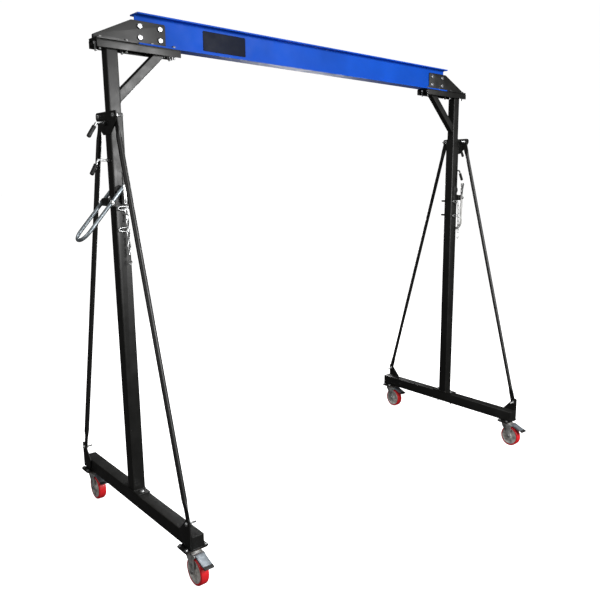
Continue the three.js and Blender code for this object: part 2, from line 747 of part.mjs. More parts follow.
function addSideFrame(side) {
  const group = new THREE.Group();
  const addPiece = (name, geometry, material) => {
    add(group, name, side === "left" ? mirrored(geometry) : geometry, material);
  };
  addPiece(`${side}_base_tube`, baseTube(), BLACK_COAT);
  addPiece(`${side}_lower_mast`, lowerMast(), BLACK_COAT);
  addPiece(`${side}_mast_collar`, mastCollar(), BLACK_COAT);
  addPiece(`${side}_upper_mast`, upperMast(), BLACK_COAT);
  addPiece(`${side}_head_channel`, headChannel(), BLACK_COAT);
  addPiece(`${side}_knee_brace`, kneeBrace(), BLACK_COAT);
  addPiece(`${side}_lever_bracket`, leverBracket(), BLACK_COAT);
  addPiece(`${side}_clamp_screw_upper`, clampScrew(SCREW_Z[0], 1428, [1435, 0, 2231], [1471, 0, 2174]), GRIP_BLACK);
  addPiece(`${side}_clamp_screw_lower`, clampScrew(SCREW_Z[1], 1433, [1440, 0, 2045], [1468, 0, 1991]), GRIP_BLACK);
  addPiece(`${side}_jack_lever`, jackLever(LEVER_REST_DEG[side]), LEVER_STEEL);
  addPiece(`${side}_lift_link`, liftLink(LEVER_REST_DEG[side], LINK_REST_DEG[side]), ZINC);
  addPiece(`${side}_lift_pin`, heightPin(LIFT_PIN_Z), ZINC);
  addPiece(`${side}_lock_pin`, heightPin(LOCK_PIN_Z), ZINC);
  addPiece(`${side}_pin_chain`, pinChain(), ZINC);
  for (const [place, end] of [["near", -1], ["far", 1]]) {
    addPiece(`${side}_${place}_base_ear`, baseEar(end), BLACK_COAT);
    addPiece(`${side}_${place}_tie`, tie(end), BLACK_COAT);
    addPiece(`${side}_${place}_beam_plate`, beamPlate(end), BLACK_COAT);
    addCaster(group, side, place, end * CASTER_Y, addPiece);
  }
  crane.add(group);
}

add(crane, "beam", beam(), BLUE_COAT);
add(crane, "badge", badge(), BADGE_NAVY);
addSideFrame("left");
addSideFrame("right");

export default crane;
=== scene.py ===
import math

import bmesh
import bpy
from mathutils import Matrix, Vector


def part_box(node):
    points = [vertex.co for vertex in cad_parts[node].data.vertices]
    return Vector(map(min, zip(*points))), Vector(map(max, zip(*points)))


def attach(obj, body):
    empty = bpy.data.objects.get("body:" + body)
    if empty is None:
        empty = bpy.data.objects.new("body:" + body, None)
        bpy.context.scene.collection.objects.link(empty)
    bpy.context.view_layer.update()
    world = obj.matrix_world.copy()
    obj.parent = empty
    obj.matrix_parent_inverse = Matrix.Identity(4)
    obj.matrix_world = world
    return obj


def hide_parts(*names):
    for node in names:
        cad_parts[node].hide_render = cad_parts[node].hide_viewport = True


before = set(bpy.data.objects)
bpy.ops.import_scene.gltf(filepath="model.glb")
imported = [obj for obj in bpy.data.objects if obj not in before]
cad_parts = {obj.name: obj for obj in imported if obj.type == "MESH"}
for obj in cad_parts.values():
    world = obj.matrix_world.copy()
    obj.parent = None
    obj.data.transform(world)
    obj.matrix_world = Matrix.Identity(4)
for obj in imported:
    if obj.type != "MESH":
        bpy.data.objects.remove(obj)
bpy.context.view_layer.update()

# The side frame is drawn in millimetres at positive x, outer side towards +x, with y = 0 in the
# middle of the masts, and is mirrored for the left. SHIFT moves it to where the frame has the beam.
MM = 0.001
BEAM_LOW, BEAM_HIGH = (Vector(corner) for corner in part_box("beam"))
SHIFT = Vector(((BEAM_LOW.x + BEAM_HIGH.x) / 2, (BEAM_LOW.y + BEAM_HIGH.y) / 2, 0))

GAP = 0.3  # between faces of separate pieces that touch

MAST_X = 1336  # middle of each mast and base tube
MAST_HALF = 35
MAST_WALL = 4
OUTER_FACE = MAST_X + MAST_HALF
INNER_MAST_HALF = 30
PLATE_IN = OUTER_FACE + GAP
PLATE_OUT = PLATE_IN + 6
BASE_TOP = 267
BASE_BOTTOM = 192
BASE_HALF_LENGTH = 675
FOOT_BOTTOM = BASE_TOP + GAP
FOOT_TOP = FOOT_BOTTOM + 8

LIFT_PIN_Z = 1828
HOLE_PITCH = 108
LOCK_PIN_Z = LIFT_PIN_Z - HOLE_PITCH
HOLE_COUNT = 9
PIN_RADIUS = 7
PIN_HOLE_RADIUS = 8.4
SCREW_Z = {"upper": 2246, "lower": 2065}
SCREW_RADIUS = 6

TIE_TOP = (92, 2280)  # bolt positions as distance from the mast's middle, height
TIE_FOOT = (650, 328)
TIE_BOLT_END = 1328

BEAM_HALF_LENGTH = 1200
BEAM_HALF_HEIGHT = 76
BEAM_MIDDLE_Z = 2715
FLANGE_HALF_WIDTH = 44.5
FLANGE_THICKNESS = 7.7
FLANGE_TOP = BEAM_MIDDLE_Z - BEAM_HALF_HEIGHT + FLANGE_THICKNESS
WEB_HALF = 2.25
WEB_FACE = WEB_HALF + GAP
BEAM_PLATE_FACE = 10
SHELF_BOTTOM = 2639
SHELF_TOP = 2645
CHANNEL_TOP = 2638.7
CHANNEL_UNDER = 2632.7
CHANNEL_BOTTOM = 2599
CHANNEL_INNER_END = 975
CHANNEL_OUTER_END = 1416
INNER_MAST_TOP = CHANNEL_UNDER - GAP
BOLT_TAIL = 43
BOLT_TAIL_OVER_BRACE = 21.5
CHANNEL_BOLT_TAILS = {1003: BOLT_TAIL, 1125: BOLT_TAIL_OVER_BRACE, 1261: BOLT_TAIL, 1394: BOLT_TAIL}

LEVER_PIVOT = (1398, 1856)
LEVER_REST = {"left": 40, "right": 0}  # degrees that the hanging end swings away from the mast
LINK_REST = {"left": 0, "right": -13}
LEVER_LEG_Y = 58
LEVER_ABOVE = 112  # from the pivot to the top of each leg
LEVER_BELOW = 242  # from the pivot to the bottom of the bend
LEVER_RADIUS = 9.3
LINK_PIN_ABOVE = 104
LINK_LENGTH = 80

CASTER_Y = 622
CASTER_TRAIL = 42
WHEEL_RADIUS = 75
FORK_OUT = 31
FORK_IN = 27
PEDAL_AXLE = (-60, 163)  # distance from the swivel's axis, height

SHARP_ANGLE = 40
FLOOR_REACH = 90
FLOOR_GLOW = 0.99
WORLD_SEEN = 1.02
WORLD_FILL = 0.14
WORLD_IN_GLOSS = 0.035
WORLD_TINT = (1, 0.99, 0.97, 1)
CAMERA_PLACE = (-2778.9, -3379.9, 1956.5)
CAMERA_HEADING = -43.0914
CAMERA_RISE = 11.0784
CAMERA_ROLL = 0.4011


# ---- outlines and mesh helpers

ORIENT = {
    "x": Matrix(((0, 0, 1, 0), (1, 0, 0, 0), (0, 1, 0, 0), (0, 0, 0, 1))),
    "y": Matrix(((1, 0, 0, 0), (0, 0, -1, 0), (0, 1, 0, 0), (0, 0, 0, 1))),
    "z": Matrix.Identity(4),
}
AXES = {"x": Vector((1, 0, 0)), "y": Vector((0, 1, 0)), "z": Vector((0, 0, 1))}


def show(thing):
    bpy.context.scene.collection.objects.link(thing)


def rounded(points, radius, steps=5):
    """The outline with each corner turned into an arc; radius is one number or one per corner."""
    radii = radius if isinstance(radius, (list, tuple)) else [radius] * len(points)
    ring = []
    for k, corner_radius in enumerate(radii):
        corner = Vector(points[k])
        before = Vector(points[k - 1]) - corner
        after = Vector(points[(k + 1) % len(points)]) - corner
        half_angle = before.angle(after) / 2
        if corner_radius <= 0 or half_angle > math.radians(88):
            ring.append(tuple(corner))
            continue
        back = min(corner_radius / math.tan(half_angle), before.length / 2.02, after.length / 2.02)
        start = corner + before.normalized() * back
        end = corner + after.normalized() * back
        for step in range(steps + 1):
            t = step / steps
            point = start * (1 - t) ** 2 + corner * 2 * t * (1 - t) + end * t**2
            ring.append(tuple(point))
    return ring


def rectangle(a_low, a_high, b_low, b_high):
    return [(a_low, b_low), (a_high, b_low), (a_high, b_high), (a_low, b_high)]


def circle(a, b, radius, sides=24):
    turn = 2 * math.pi / sides
    return [(a + radius * math.cos(k * turn), b + radius * math.sin(k * turn)) for k in range(sides)]


def add_plate(bm, axis, low, high, outline, holes=(), bevel=0.8):
    """A flat or extruded piece: an outline with holes, given a thickness along an axis."""
    curve = bpy.data.curves.new("outline", "CURVE")
    curve.dimensions = "2D"
    curve.fill_mode = "BOTH"
    curve.extrude = abs(high - low) / 2 - bevel
    curve.bevel_depth = bevel
    curve.bevel_resolution = 1
    curve.offset = -bevel
    for ring in (outline, *holes):
        spline = curve.splines.new("POLY")
        spline.points.add(len(ring) - 1)
        for point, (a, b) in zip(spline.points, ring):
            point.co = (a, b, 0, 1)
        spline.use_cyclic_u = True
    holder = bpy.data.objects.new("outline", curve)
    show(holder)
    mesh = bpy.data.meshes.new_from_object(holder)
    middle = (low + high) / 2
    sign = -1 if axis == "y" else 1
    mesh.transform(ORIENT[axis] @ Matrix.Translation((0, 0, sign * middle)))
    part = bmesh.new()
    part.from_mesh(mesh)
    bmesh.ops.remove_doubles(part, verts=part.verts, dist=0.002)
    bmesh.ops.recalc_face_normals(part, faces=part.faces)
    merge(bm, part)
    bpy.data.objects.remove(holder)
    bpy.data.curves.remove(curve)
    bpy.data.meshes.remove(mesh)


def merge(bm, part):
    """Moves one bmesh into another."""
    mesh = bpy.data.meshes.new("part")
    part.to_mesh(mesh)
    part.free()
    bm.from_mesh(mesh)
    bpy.data.meshes.remove(mesh)


def add_rings(bm, rings, closed=False):
    """A skin over rings of points; open ends are capped unless the rings close on themselves."""
    rows = [[bm.verts.new(point) for point in ring] for ring in rings]
    count = len(rows[0])
    pairs = list(zip(rows, rows[1:]))
    if closed:
        pairs.append((rows[-1], rows[0]))
    made = []
    for first, second in pairs:
        for k in range(count):
            n = (k + 1) % count
            made.append(bm.faces.new((first[k], first[n], second[n], second[k])))
    if not closed:
        made.append(bm.faces.new(list(reversed(rows[0]))))
        made.append(bm.faces.new(rows[-1]))
    bmesh.ops.recalc_face_normals(bm, faces=made)


def moved_to(centre, axis, value):
    """The centre with its coordinate along an axis replaced."""
    point = Vector(centre)
    point["xyz".index(axis)] = value
    return point


def add_lathe(bm, axis, centre, profile, sides=32):
    """Turns (distance along axis, radius) stations about an axis through a centre."""
    first = AXES["x"] if axis == "z" else AXES["z"]
    second = AXES[axis].cross(first)
    rings = []
    for along, radius in profile:
        middle = Vector(centre) + AXES[axis] * along
        rings.append(ring_points(middle, first, second, max(radius, 0.05), sides))
    add_rings(bm, rings)


def ring_points(middle, first, second, radius, sides):
    turn = 2 * math.pi / sides
    return [
        middle + first * (radius * math.cos(k * turn)) + second * (radius * math.sin(k * turn))
        for k in range(sides)
    ]


def add_bar(bm, path, radius, sides=16, closed=False):
    """A round bar along a path; radius is one number or one per point."""
    points = [Vector(p) for p in path]
    count = len(points)
    radii = radius if isinstance(radius, (list, tuple)) else [radius] * count
    rings = []
    normal = None
    for k, point in enumerate(points):
        after = points[(k + 1) % count] if closed or k < count - 1 else point
        before = points[k - 1] if closed or k > 0 else point
        tangent = (after - before).normalized()
        if normal is None:
            normal = tangent.orthogonal().normalized()
        normal = (normal - tangent * normal.dot(tangent)).normalized()
        rings.append(ring_points(point, normal, tangent.cross(normal), radii[k], sides))
    add_rings(bm, rings, closed)


def arc(centre, radius, start, end, plane, steps=12):
    """Points on an arc in a plane given by two axis names, angles in degrees."""
    first, second = (AXES[name] for name in plane)
    points = []
    for k in range(steps + 1):
        angle = math.radians(start + (end - start) * k / steps)
        offset = first * (radius * math.cos(angle)) + second * (radius * math.sin(angle))
        points.append(Vector(centre) + offset)
    return points


def smooth_path(points):
    """A Catmull-Rom curve through points."""
    steps = 6
    path = [Vector(p) for p in points]
    padded = [path[0] * 2 - path[1], *path, path[-1] * 2 - path[-2]]
    result = []
    for k in range(1, len(padded) - 2):
        a, b, c, d = padded[k - 1 : k + 3]
        for step in range(steps):
            t = step / steps
            square = 2 * a - 5 * b + 4 * c - d
            cube = 3 * b - a - 3 * c + d
            result.append(0.5 * (2 * b + (c - a) * t + square * t**2 + cube * t**3))
    result.append(path[-1])
    return result


def add_hexagon(bm, axis, centre, start, end, across_flats):
    """A chamfered hexagon head or nut from start to end along an axis."""
    corner = across_flats / math.sqrt(3)
    sign = 1 if end > start else -1
    chamfer = 0.13 * across_flats
    stations = [
        (start, 0.97), (start + sign * 0.6, 1.0), (end - sign * chamfer * 0.45, 1.0),
        (end - sign * chamfer * 0.12, 0.93), (end, 0.84),
    ]
    profile = [(along, corner * scale) for along, scale in stations]
    add_lathe(bm, axis, moved_to(centre, axis, 0), profile, 6)


def add_washer(bm, axis, centre, start, end, radius):
    low, high = sorted((start, end))
    rim = 0.4
    profile = [(low, 0.1), (low, radius - rim), (low + rim, radius)]
    profile += [(high - rim, radius), (high, radius - rim), (high, 0.1)]
    add_lathe(bm, axis, moved_to(centre, axis, 0), profile, 28)


def add_thread(bm, axis, centre, start, end, radius, pitch=1.75):
    """The end of a threaded rod, with rings for its threads and a chamfered tip."""
    sign = 1 if end > start else -1
    length = abs(end - start)
    count = max(int(length / pitch), 2)
    profile = [(start, 0.1)]
    for k in range(count):
        along = start + sign * length * k / count
        profile.append((along, radius))
        profile.append((along + sign * length / count * 0.5, radius * 0.88))
    profile.append((end, radius * 0.8))
    profile.append((end, 0.1))
    add_lathe(bm, axis, moved_to(centre, axis, 0), profile, 16)


def add_bolt_head(bm, centre, face, height):
    """An M12 washer and bolt head standing on a face."""
    add_washer(bm, "z", centre, face, face + 2, 12.6)
    add_hexagon(bm, "z", centre, face + 2, face + 2 + height, 18.6)


def add_bolt_end(bm, centre, face, nut_height, tail):
    """An M12 washer, nut and bolt end under a face."""
    add_washer(bm, "z", centre, face, face - 2, 12.5)
    add_hexagon(bm, "z", centre, face - 2, face - 2 - nut_height, 18)
    add_thread(bm, "z", centre, face - 1.5 - nut_height, face - tail, 6)


def add_weld(bm, path, size=2.6, closed=False):
    """A weld bead with its ripples along a path."""
    ripple = 3.4
    points = [Vector(p) for p in path]
    if closed:
        points.append(points[0])
    dense = []
    for first, second in zip(points, points[1:]):
        steps = max(int((second - first).length / ripple * 2), 1)
        dense.extend(first.lerp(second, k / steps) for k in range(steps))
    if not closed:
        dense.append(points[-1])
    radii = [size * (1.0 if k % 2 else 0.82) for k in range(len(dense))]
    add_bar(bm, dense, radii, 8, closed)


def cut_mesh(bm, cutter):
    """Cuts one bmesh out of another and returns the result."""
    host = temporary_object(bm)
    holder = temporary_object(cutter)
    modifier = host.modifiers.new("cut", "BOOLEAN")
    modifier.operation = "DIFFERENCE"
    modifier.solver = "EXACT"
    modifier.object = holder
    bpy.context.view_layer.update()
    graph = bpy.context.evaluated_depsgraph_get()
    mesh = bpy.data.meshes.new_from_object(host.evaluated_get(graph))
    result = bmesh.new()
    result.from_mesh(mesh)
    bpy.data.meshes.remove(mesh)
    for used in (host, holder):
        data = used.data
        bpy.data.objects.remove(used)
        bpy.data.meshes.remove(data)
    return result


def temporary_object(bm):
    mesh = bpy.data.meshes.new("temporary")
    bm.to_mesh(mesh)
    bm.free()
    holder = bpy.data.objects.new("temporary", mesh)
    show(holder)
    return holder


def turn_about_y(bm, pivot, degrees):
    centre = Vector((pivot[0], 0, pivot[1]))
    turn = Matrix.Rotation(math.radians(degrees), 4, "Y")
    matrix = Matrix.Translation(centre) @ turn @ Matrix.Translation(-centre)
    bmesh.ops.transform(bm, matrix=matrix, verts=bm.verts)


def place(name, bm, side, material, body, replaces=()):
    """Turns a bmesh in millimetres into a piece that rides on a body."""
    mesh = bpy.data.meshes.new(name)
    bm.to_mesh(mesh)
    bm.free()
    mirror = Matrix.Diagonal((-1 if side == "left" else 1, 1, 1, 1))
    mesh.transform(Matrix.Translation(SHIFT) @ Matrix.Scale(MM, 4) @ mirror)
    if side == "left":
        mesh.flip_normals()
    for polygon in mesh.polygons:
        polygon.use_smooth = True
    mesh.set_sharp_from_angle(angle=math.radians(SHARP_ANGLE))
    mesh.materials.append(material)
    piece = bpy.data.objects.new(name, mesh)
    show(piece)
    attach(piece, body)
    if replaces:
        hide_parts(*replaces)
    return piece


# ---- materials


def node_tree(name):
    material = bpy.data.materials.new(name)
    material.use_nodes = True
    tree = material.node_tree
    shader = tree.nodes["Principled BSDF"]
    return material, tree, shader


def noise(tree, scale, detail=4, roughness=0.55, stretch=None):
    """A noise texture in object coordinates, stretched along axes when asked."""
    place_node = tree.nodes.new("ShaderNodeTexCoord")
    texture = tree.nodes.new("ShaderNodeTexNoise")
    texture.inputs["Scale"].default_value = scale
    texture.inputs["Detail"].default_value = detail
    texture.inputs["Roughness"].default_value = roughness
    source = place_node.outputs["Object"]
    if stretch:
        mapping = tree.nodes.new("ShaderNodeMapping")
        mapping.inputs["Scale"].default_value = stretch
        tree.links.new(source, mapping.inputs["Vector"])
        source = mapping.outputs["Vector"]
    tree.links.new(source, texture.inputs["Vector"])
    return texture.outputs["Fac"]


def ramp(tree, source, stops):
    """A colour ramp; each stop is (position, grey or colour)."""
    node = tree.nodes.new("ShaderNodeValToRGB")
    while len(node.color_ramp.elements) < len(stops):
        node.color_ramp.elements.new(0.5)
    for element, (position, value) in zip(node.color_ramp.elements, stops):
        element.position = position
        colour = (value, value, value) if isinstance(value, (int, float)) else value
        element.color = (*colour, 1)
    tree.links.new(source, node.inputs["Fac"])
    return node.outputs["Color"]


def mix(tree, factor, first, second):
    node = tree.nodes.new("ShaderNodeMix")
    node.data_type = "RGBA"
    for socket, value in ((node.inputs[0], factor), (node.inputs[6], first), (node.inputs[7], second)):
        if isinstance(value, bpy.types.NodeSocket):
            tree.links.new(value, socket)
        elif isinstance(value, (int, float)):
            socket.default_value = value
        else:
            socket.default_value = (*value, 1)
    return node.outputs[2]


def bump(tree, height, strength, distance, below=None):
    node = tree.nodes.new("ShaderNodeBump")
    node.inputs["Strength"].default_value = strength
    node.inputs["Distance"].default_value = distance
    tree.links.new(height, node.inputs["Height"])
    if below:
        tree.links.new(below, node.inputs["Normal"])
    return node.outputs["Normal"]


def dress(tree, shader, colour, roughness, normal):
    """Links what was made for a surface to its shader."""
    tree.links.new(colour, shader.inputs["Base Color"])
    tree.links.new(roughness, shader.inputs["Roughness"])
    tree.links.new(normal, shader.inputs["Normal"])


def scaled(colour, factor):
    return tuple(min(channel * factor, 1) for channel in colour)


def powder_coat(name, colour, dust, roughness=0.36, specular=0.5):
    """Powder coat: orange-peel skin, uneven depth of colour, faint dust and small rubbed marks."""
    material, tree, shader = node_tree(name)
    shade = ramp(tree, noise(tree, 2.3, 3), [(0.3, scaled(colour, 0.82)), (0.7, scaled(colour, 1.22))])
    dusty = ramp(tree, noise(tree, 9, 8, 0.7), [(0.5, 0.0), (0.78, 0.14)])
    shade = mix(tree, dusty, shade, dust)
    rubbed = ramp(tree, noise(tree, 26, 6, 0.6, (1, 1, 0.25)), [(0.69, 0.0), (0.74, 0.4)])
    shade = mix(tree, rubbed, shade, scaled(dust, 0.8))
    rough = ramp(tree, noise(tree, 14, 6, 0.6), [(0.3, roughness - 0.07), (0.75, roughness + 0.12)])
    shader.inputs["Specular IOR Level"].default_value = specular
    peel = bump(tree, noise(tree, 420, 2), 0.22, 0.0006)
    dress(tree, shader, shade, rough, bump(tree, noise(tree, 60, 3), 0.06, 0.001, peel))
    return material


def plated(name, bright, dull, roughness=0.3, metallic=0.9):
    """Zinc plate: metal with cloudy passivation, fine drawn lines and duller patches."""
    material, tree, shader = node_tree(name)
    shader.inputs["Metallic"].default_value = metallic
    cloud = ramp(tree, noise(tree, 30, 5, 0.6), [(0.35, bright), (0.68, dull)])
    stain = ramp(tree, noise(tree, 75, 6, 0.7), [(0.6, 0.0), (0.8, 0.45)])
    colour = mix(tree, stain, cloud, scaled(dull, 0.55))
    rough = ramp(tree, noise(tree, 55, 4), [(0.3, roughness - 0.08), (0.75, roughness + 0.16)])
    lines = noise(tree, 260, 3, 0.5, (1, 1, 0.3))
    dress(tree, shader, colour, rough, bump(tree, lines, 0.12, 0.0004))
    return material


def polyurethane():
    """Red tread: cast plastic with a faint bloom, fine moulding marks and scuffs from the floor."""
    material, tree, shader = node_tree("polyurethane_red")
    base = ramp(tree, noise(tree, 18, 4), [(0.3, (0.8, 0.012, 0.02)), (0.7, (1.0, 0.028, 0.036))])
    scuff = ramp(tree, noise(tree, 90, 6, 0.7), [(0.6, 0.0), (0.78, 0.22)])
    colour = mix(tree, scuff, base, (0.16, 0.05, 0.05))
    rough = ramp(tree, noise(tree, 40, 4), [(0.3, 0.3), (0.75, 0.55)])
    shader.inputs["Subsurface Weight"].default_value = 0.08
    shader.inputs["Subsurface Radius"].default_value = (0.01, 0.002, 0.002)
    shader.inputs["Coat Weight"].default_value = 0.15
    dress(tree, shader, colour, rough, bump(tree, noise(tree, 300, 3), 0.18, 0.0005))
    return material


def soft_plastic(name, colour, roughness=0.55, worn_colour=(0.09, 0.09, 0.088)):
    """Moulded black plastic or rubber with a fine grain and greyed touch marks."""
    material, tree, shader = node_tree(name)
    worn = ramp(tree, noise(tree, 35, 6, 0.65), [(0.45, 0.0), (0.78, 0.4)])
    shade = mix(tree, worn, colour, worn_colour)
    rough = ramp(tree, noise(tree, 60, 4), [(0.3, roughness - 0.1), (0.75, roughness + 0.15)])
    dress(tree, shader, shade, rough, bump(tree, noise(tree, 700, 2), 0.3, 0.0005))
    return material


def floor_paper():
    material, tree, shader = node_tree("floor_paper")
    tone = ramp(tree, noise(tree, 0.6, 3), [(0.3, 0.9), (0.7, 0.93)])
    tree.links.new(tone, shader.inputs["Base Color"])
    shader.inputs["Roughness"].default_value = 0.9
    shader.inputs["Emission Color"].default_value = (1, 1, 1, 1)
    shader.inputs["Emission Strength"].default_value = FLOOR_GLOW
    return material


BLACK = powder_coat("powder_coat_black", (0.0105, 0.0105, 0.0098), (0.042, 0.042, 0.04), 0.42, 0.48)
BLUE = powder_coat("powder_coat_blue", (0.006, 0.074, 0.47), (0.03, 0.12, 0.5), 0.55, 0.1)
NAVY = powder_coat("badge_navy", (0.007, 0.01, 0.022), (0.03, 0.034, 0.05), 0.6, 0.12)
ZINC = plated("zinc_plate", (0.76, 0.77, 0.78), (0.5, 0.51, 0.5))
CASTER_ZINC = plated("caster_zinc", (0.9, 0.91, 0.9), (0.25, 0.25, 0.24), 0.34, 0.5)
PALE_STEEL = plated("pale_steel", (0.92, 0.92, 0.9), (0.68, 0.68, 0.66), 0.4, 0.35)
PEDAL_ZINC = plated("pedal_zinc", (0.4, 0.45, 0.49), (0.24, 0.27, 0.3), 0.4, 0.6)
TOP_PLATE_ZINC = plated("caster_plate_zinc", (0.3, 0.25, 0.21), (0.14, 0.115, 0.1), 0.4, 0.6)
LEVER_STEEL = plated("lever_steel", (0.5, 0.56, 0.6), (0.3, 0.34, 0.37), 0.42, 0.8)
DULL_ZINC = plated("dull_zinc", (0.2, 0.2, 0.2), (0.1, 0.1, 0.1), 0.5)
WHEEL_CORE = plated("wheel_core", (1.0, 0.98, 0.93), (0.3, 0.29, 0.28), 0.36, 0.15)
RED = polyurethane()
GRIP = soft_plastic("grip_rubber", (0.006, 0.006, 0.006), worn_colour=(0.03, 0.03, 0.03))
PEDAL = soft_plastic("pedal_plastic", (0.02, 0.021, 0.022), 0.45)
PIN_BLACK = powder_coat("pin_black", (0.02, 0.02, 0.019), (0.06, 0.06, 0.058), 0.45, 0.4)
# Black for the lift pin's guide plate, darker and more matte than the frame's coat: the plate's own black
# with painted shade added.
GUIDE_BLACK_PAINTED_SHADE = soft_plastic("guide_black_painted_shade", (0.006, 0.006, 0.006), 0.75)


# ---- upper frame


def make_beam():
    """A rolled I-section with root fillets; a quarter of its outline is mirrored for the rest."""
    root = 7.6
    inner = BEAM_HALF_HEIGHT - FLANGE_THICKNESS
    quarter = [(FLANGE_HALF_WIDTH, BEAM_HALF_HEIGHT), (FLANGE_HALF_WIDTH, inner + 0.4)]
    quarter += [(WEB_HALF + root, inner)]
    for step in range(1, 6):
        angle = math.radians(90 * step / 5)
        y = WEB_HALF + root - root * math.sin(angle)
        z = inner - root + root * math.cos(angle)
        quarter.append((y, z))
    ring = [(y, BEAM_MIDDLE_Z + z) for y, z in quarter]
    ring += [(y, BEAM_MIDDLE_Z - z) for y, z in reversed(quarter)]
    ring += [(-y, BEAM_MIDDLE_Z - z) for y, z in quarter]
    ring += [(-y, BEAM_MIDDLE_Z + z) for y, z in reversed(quarter)]
    bm = bmesh.new()
    add_plate(bm, "x", -BEAM_HALF_LENGTH, BEAM_HALF_LENGTH, ring, bevel=0.7)
    place("beam_section", bm, "right", BLUE, "upper_frame", ["beam"])


def make_badge():
    bm = bmesh.new()
    face = -WEB_FACE
    outline = rounded(rectangle(-814, -543, 2663, 2766), 7)
    add_plate(bm, "y", face - 2, face, outline, bevel=0.5)
    place("badge_plate", bm, "right", NAVY, "upper_frame", ["badge"])


def make_beam_bolts(side):
    """Bolts down through the flange and the shelf into the channel, with nuts and tails below it."""
    heads = bmesh.new()
    nuts = bmesh.new()
    bolt_y = 27
    for x, tail in CHANNEL_BOLT_TAILS.items():
        on_flange = x < BEAM_HALF_LENGTH
        head_base, head_y = (FLANGE_TOP, bolt_y) if on_flange else (SHELF_TOP, bolt_y + 2)
        for sign in (-1, 1):
            add_bolt_head(heads, (x, sign * head_y, 0), head_base, 7)
            add_bolt_end(nuts, (x, sign * bolt_y, 0), CHANNEL_UNDER, 9, tail)
    place(f"{side}_channel_bolt_heads", heads, side, DULL_ZINC, "upper_frame")
    place(f"{side}_channel_bolt_nuts", nuts, side, ZINC, "upper_frame")


def make_beam_plate(side, name, end):
    """A gusset against the web with its shelf on the channel, and the bolts through the web."""
    plate = bmesh.new()
    corners = [
        (1037, 2647), (1203, 2647), (1203, SHELF_BOTTOM), (CHANNEL_OUTER_END, SHELF_BOTTOM),
        (CHANNEL_OUTER_END, 2662), (1222, 2757), (1210, 2758), (1037, 2758),
    ]
    outline = rounded(corners, [3, 0, 0, 2, 8, 14, 10, 10])
    add_plate(plate, "y", end * WEB_FACE, end * BEAM_PLATE_FACE, outline, bevel=0.7)
    shelf_low, shelf_high = sorted((end * 9.4, end * 50))
    shelf = rounded(rectangle(1205, CHANNEL_OUTER_END, shelf_low, shelf_high), 3)
    add_plate(plate, "z", SHELF_BOTTOM, SHELF_TOP, shelf, bevel=0.6)
    seam_y, seam_z = end * 10.6, SHELF_TOP + 0.6
    add_weld(plate, [(1210, seam_y, seam_z), (1411, seam_y, seam_z)], 2.8)
    place(f"{name}_gusset", plate, side, BLACK, "upper_frame", [f"{name}_beam_plate"])
    bolts = bmesh.new()
    face = BEAM_PLATE_FACE
    for x in (1068, 1178):
        for z in (2732, 2677):
            if end < 0:
                add_hexagon(bolts, "y", (x, 0, z), -face, -face - 9, 24)
            else:
                add_washer(bolts, "y", (x, 0, z), face, face + 2, 16)
                add_hexagon(bolts, "y", (x, 0, z), face + 2, face + 10, 24)
                add_thread(bolts, "y", (x, 0, z), face + 9.5, face + 12, 7.6)
    place(f"{name}_gusset_bolts", bolts, side, ZINC, "upper_frame")


def make_head_channel(side):
    """An inverted U pressed from plate, with round outer bends."""
    half, inner = 51, 45
    points = [
        (-half, CHANNEL_BOTTOM), (-half, CHANNEL_TOP), (half, CHANNEL_TOP),
        (half, CHANNEL_BOTTOM), (inner, CHANNEL_BOTTOM), (inner, CHANNEL_UNDER),
        (-inner, CHANNEL_UNDER), (-inner, CHANNEL_BOTTOM),
    ]
    outline = rounded(points, [1, 11, 11, 1, 1, 4, 4, 1])
    bm = bmesh.new()
    add_plate(bm, "x", CHANNEL_INNER_END, CHANNEL_OUTER_END, outline, bevel=0.6)
    place(f"{side}_channel", bm, side, BLACK, "upper_frame", [f"{side}_head_channel"])


def make_knee_brace(side):
    """Square tube cut at 45 degrees at both ends, with its weld beads."""
    half, wall = 22.5, 3
    line = 3685  # x + z anywhere along the middle of the brace
    low_x, high_z = MAST_X - INNER_MAST_HALF - 0.4, INNER_MAST_TOP
    length = (high_z - (line - low_x)) * math.sqrt(2) + 200
    bm = bmesh.new()
    outline = rounded(rectangle(-half, half, -half, half), 5)
    hollow = rounded(rectangle(-half + wall, half - wall, -half + wall, half - wall), 2.5)
    add_plate(bm, "z", -length / 2, length / 2, outline, [hollow], bevel=0.3)
    middle_x = (low_x + line - high_z) / 2
    tilt = Matrix.Rotation(math.radians(-45), 4, "Y")
    matrix = Matrix.Translation((middle_x, 0, line - middle_x)) @ tilt
    bmesh.ops.transform(bm, matrix=matrix, verts=bm.verts)
    for point, normal in (((low_x, 0, 0), (1, 0, 0)), ((0, 0, high_z), (0, 0, 1))):
        geometry = bm.verts[:] + bm.edges[:] + bm.faces[:]
        bmesh.ops.bisect_plane(bm, geom=geometry, plane_co=point, plane_no=normal, clear_outer=True)
    bmesh.ops.recalc_face_normals(bm, faces=bm.faces)
    edge = half * math.sqrt(2)
    z = line - low_x
    flat, side_y = half - 2, half + 0.6
    bead = [(-flat, z - edge), (flat, z - edge), (side_y, z - edge + 4), (side_y, z + edge - 4)]
    bead += [(flat, z + edge), (-flat, z + edge), (-side_y, z + edge - 4), (-side_y, z - edge + 4)]
    add_weld(bm, [(low_x - 1.2, *point) for point in bead], 2.4, closed=True)
    place(f"{side}_brace", bm, side, BLACK, "upper_frame", [f"{side}_knee_brace"])


def mast_tube(half, low, high, corner):
    bm = bmesh.new()
    x = MAST_X
    inner = half - MAST_WALL
    outline = rounded(rectangle(x - half, x + half, -half, half), corner)
    hollow = rounded(rectangle(x - inner, x + inner, -inner, inner), corner - MAST_WALL)
    add_plate(bm, "z", low, high, outline, [hollow], bevel=0.5)
    return bm


def add_pin_hole(cutter, z):
    reach = 60
    add_lathe(cutter, "y", (MAST_X, 0, z), [(-reach, PIN_HOLE_RADIUS), (reach, PIN_HOLE_RADIUS)], 24)


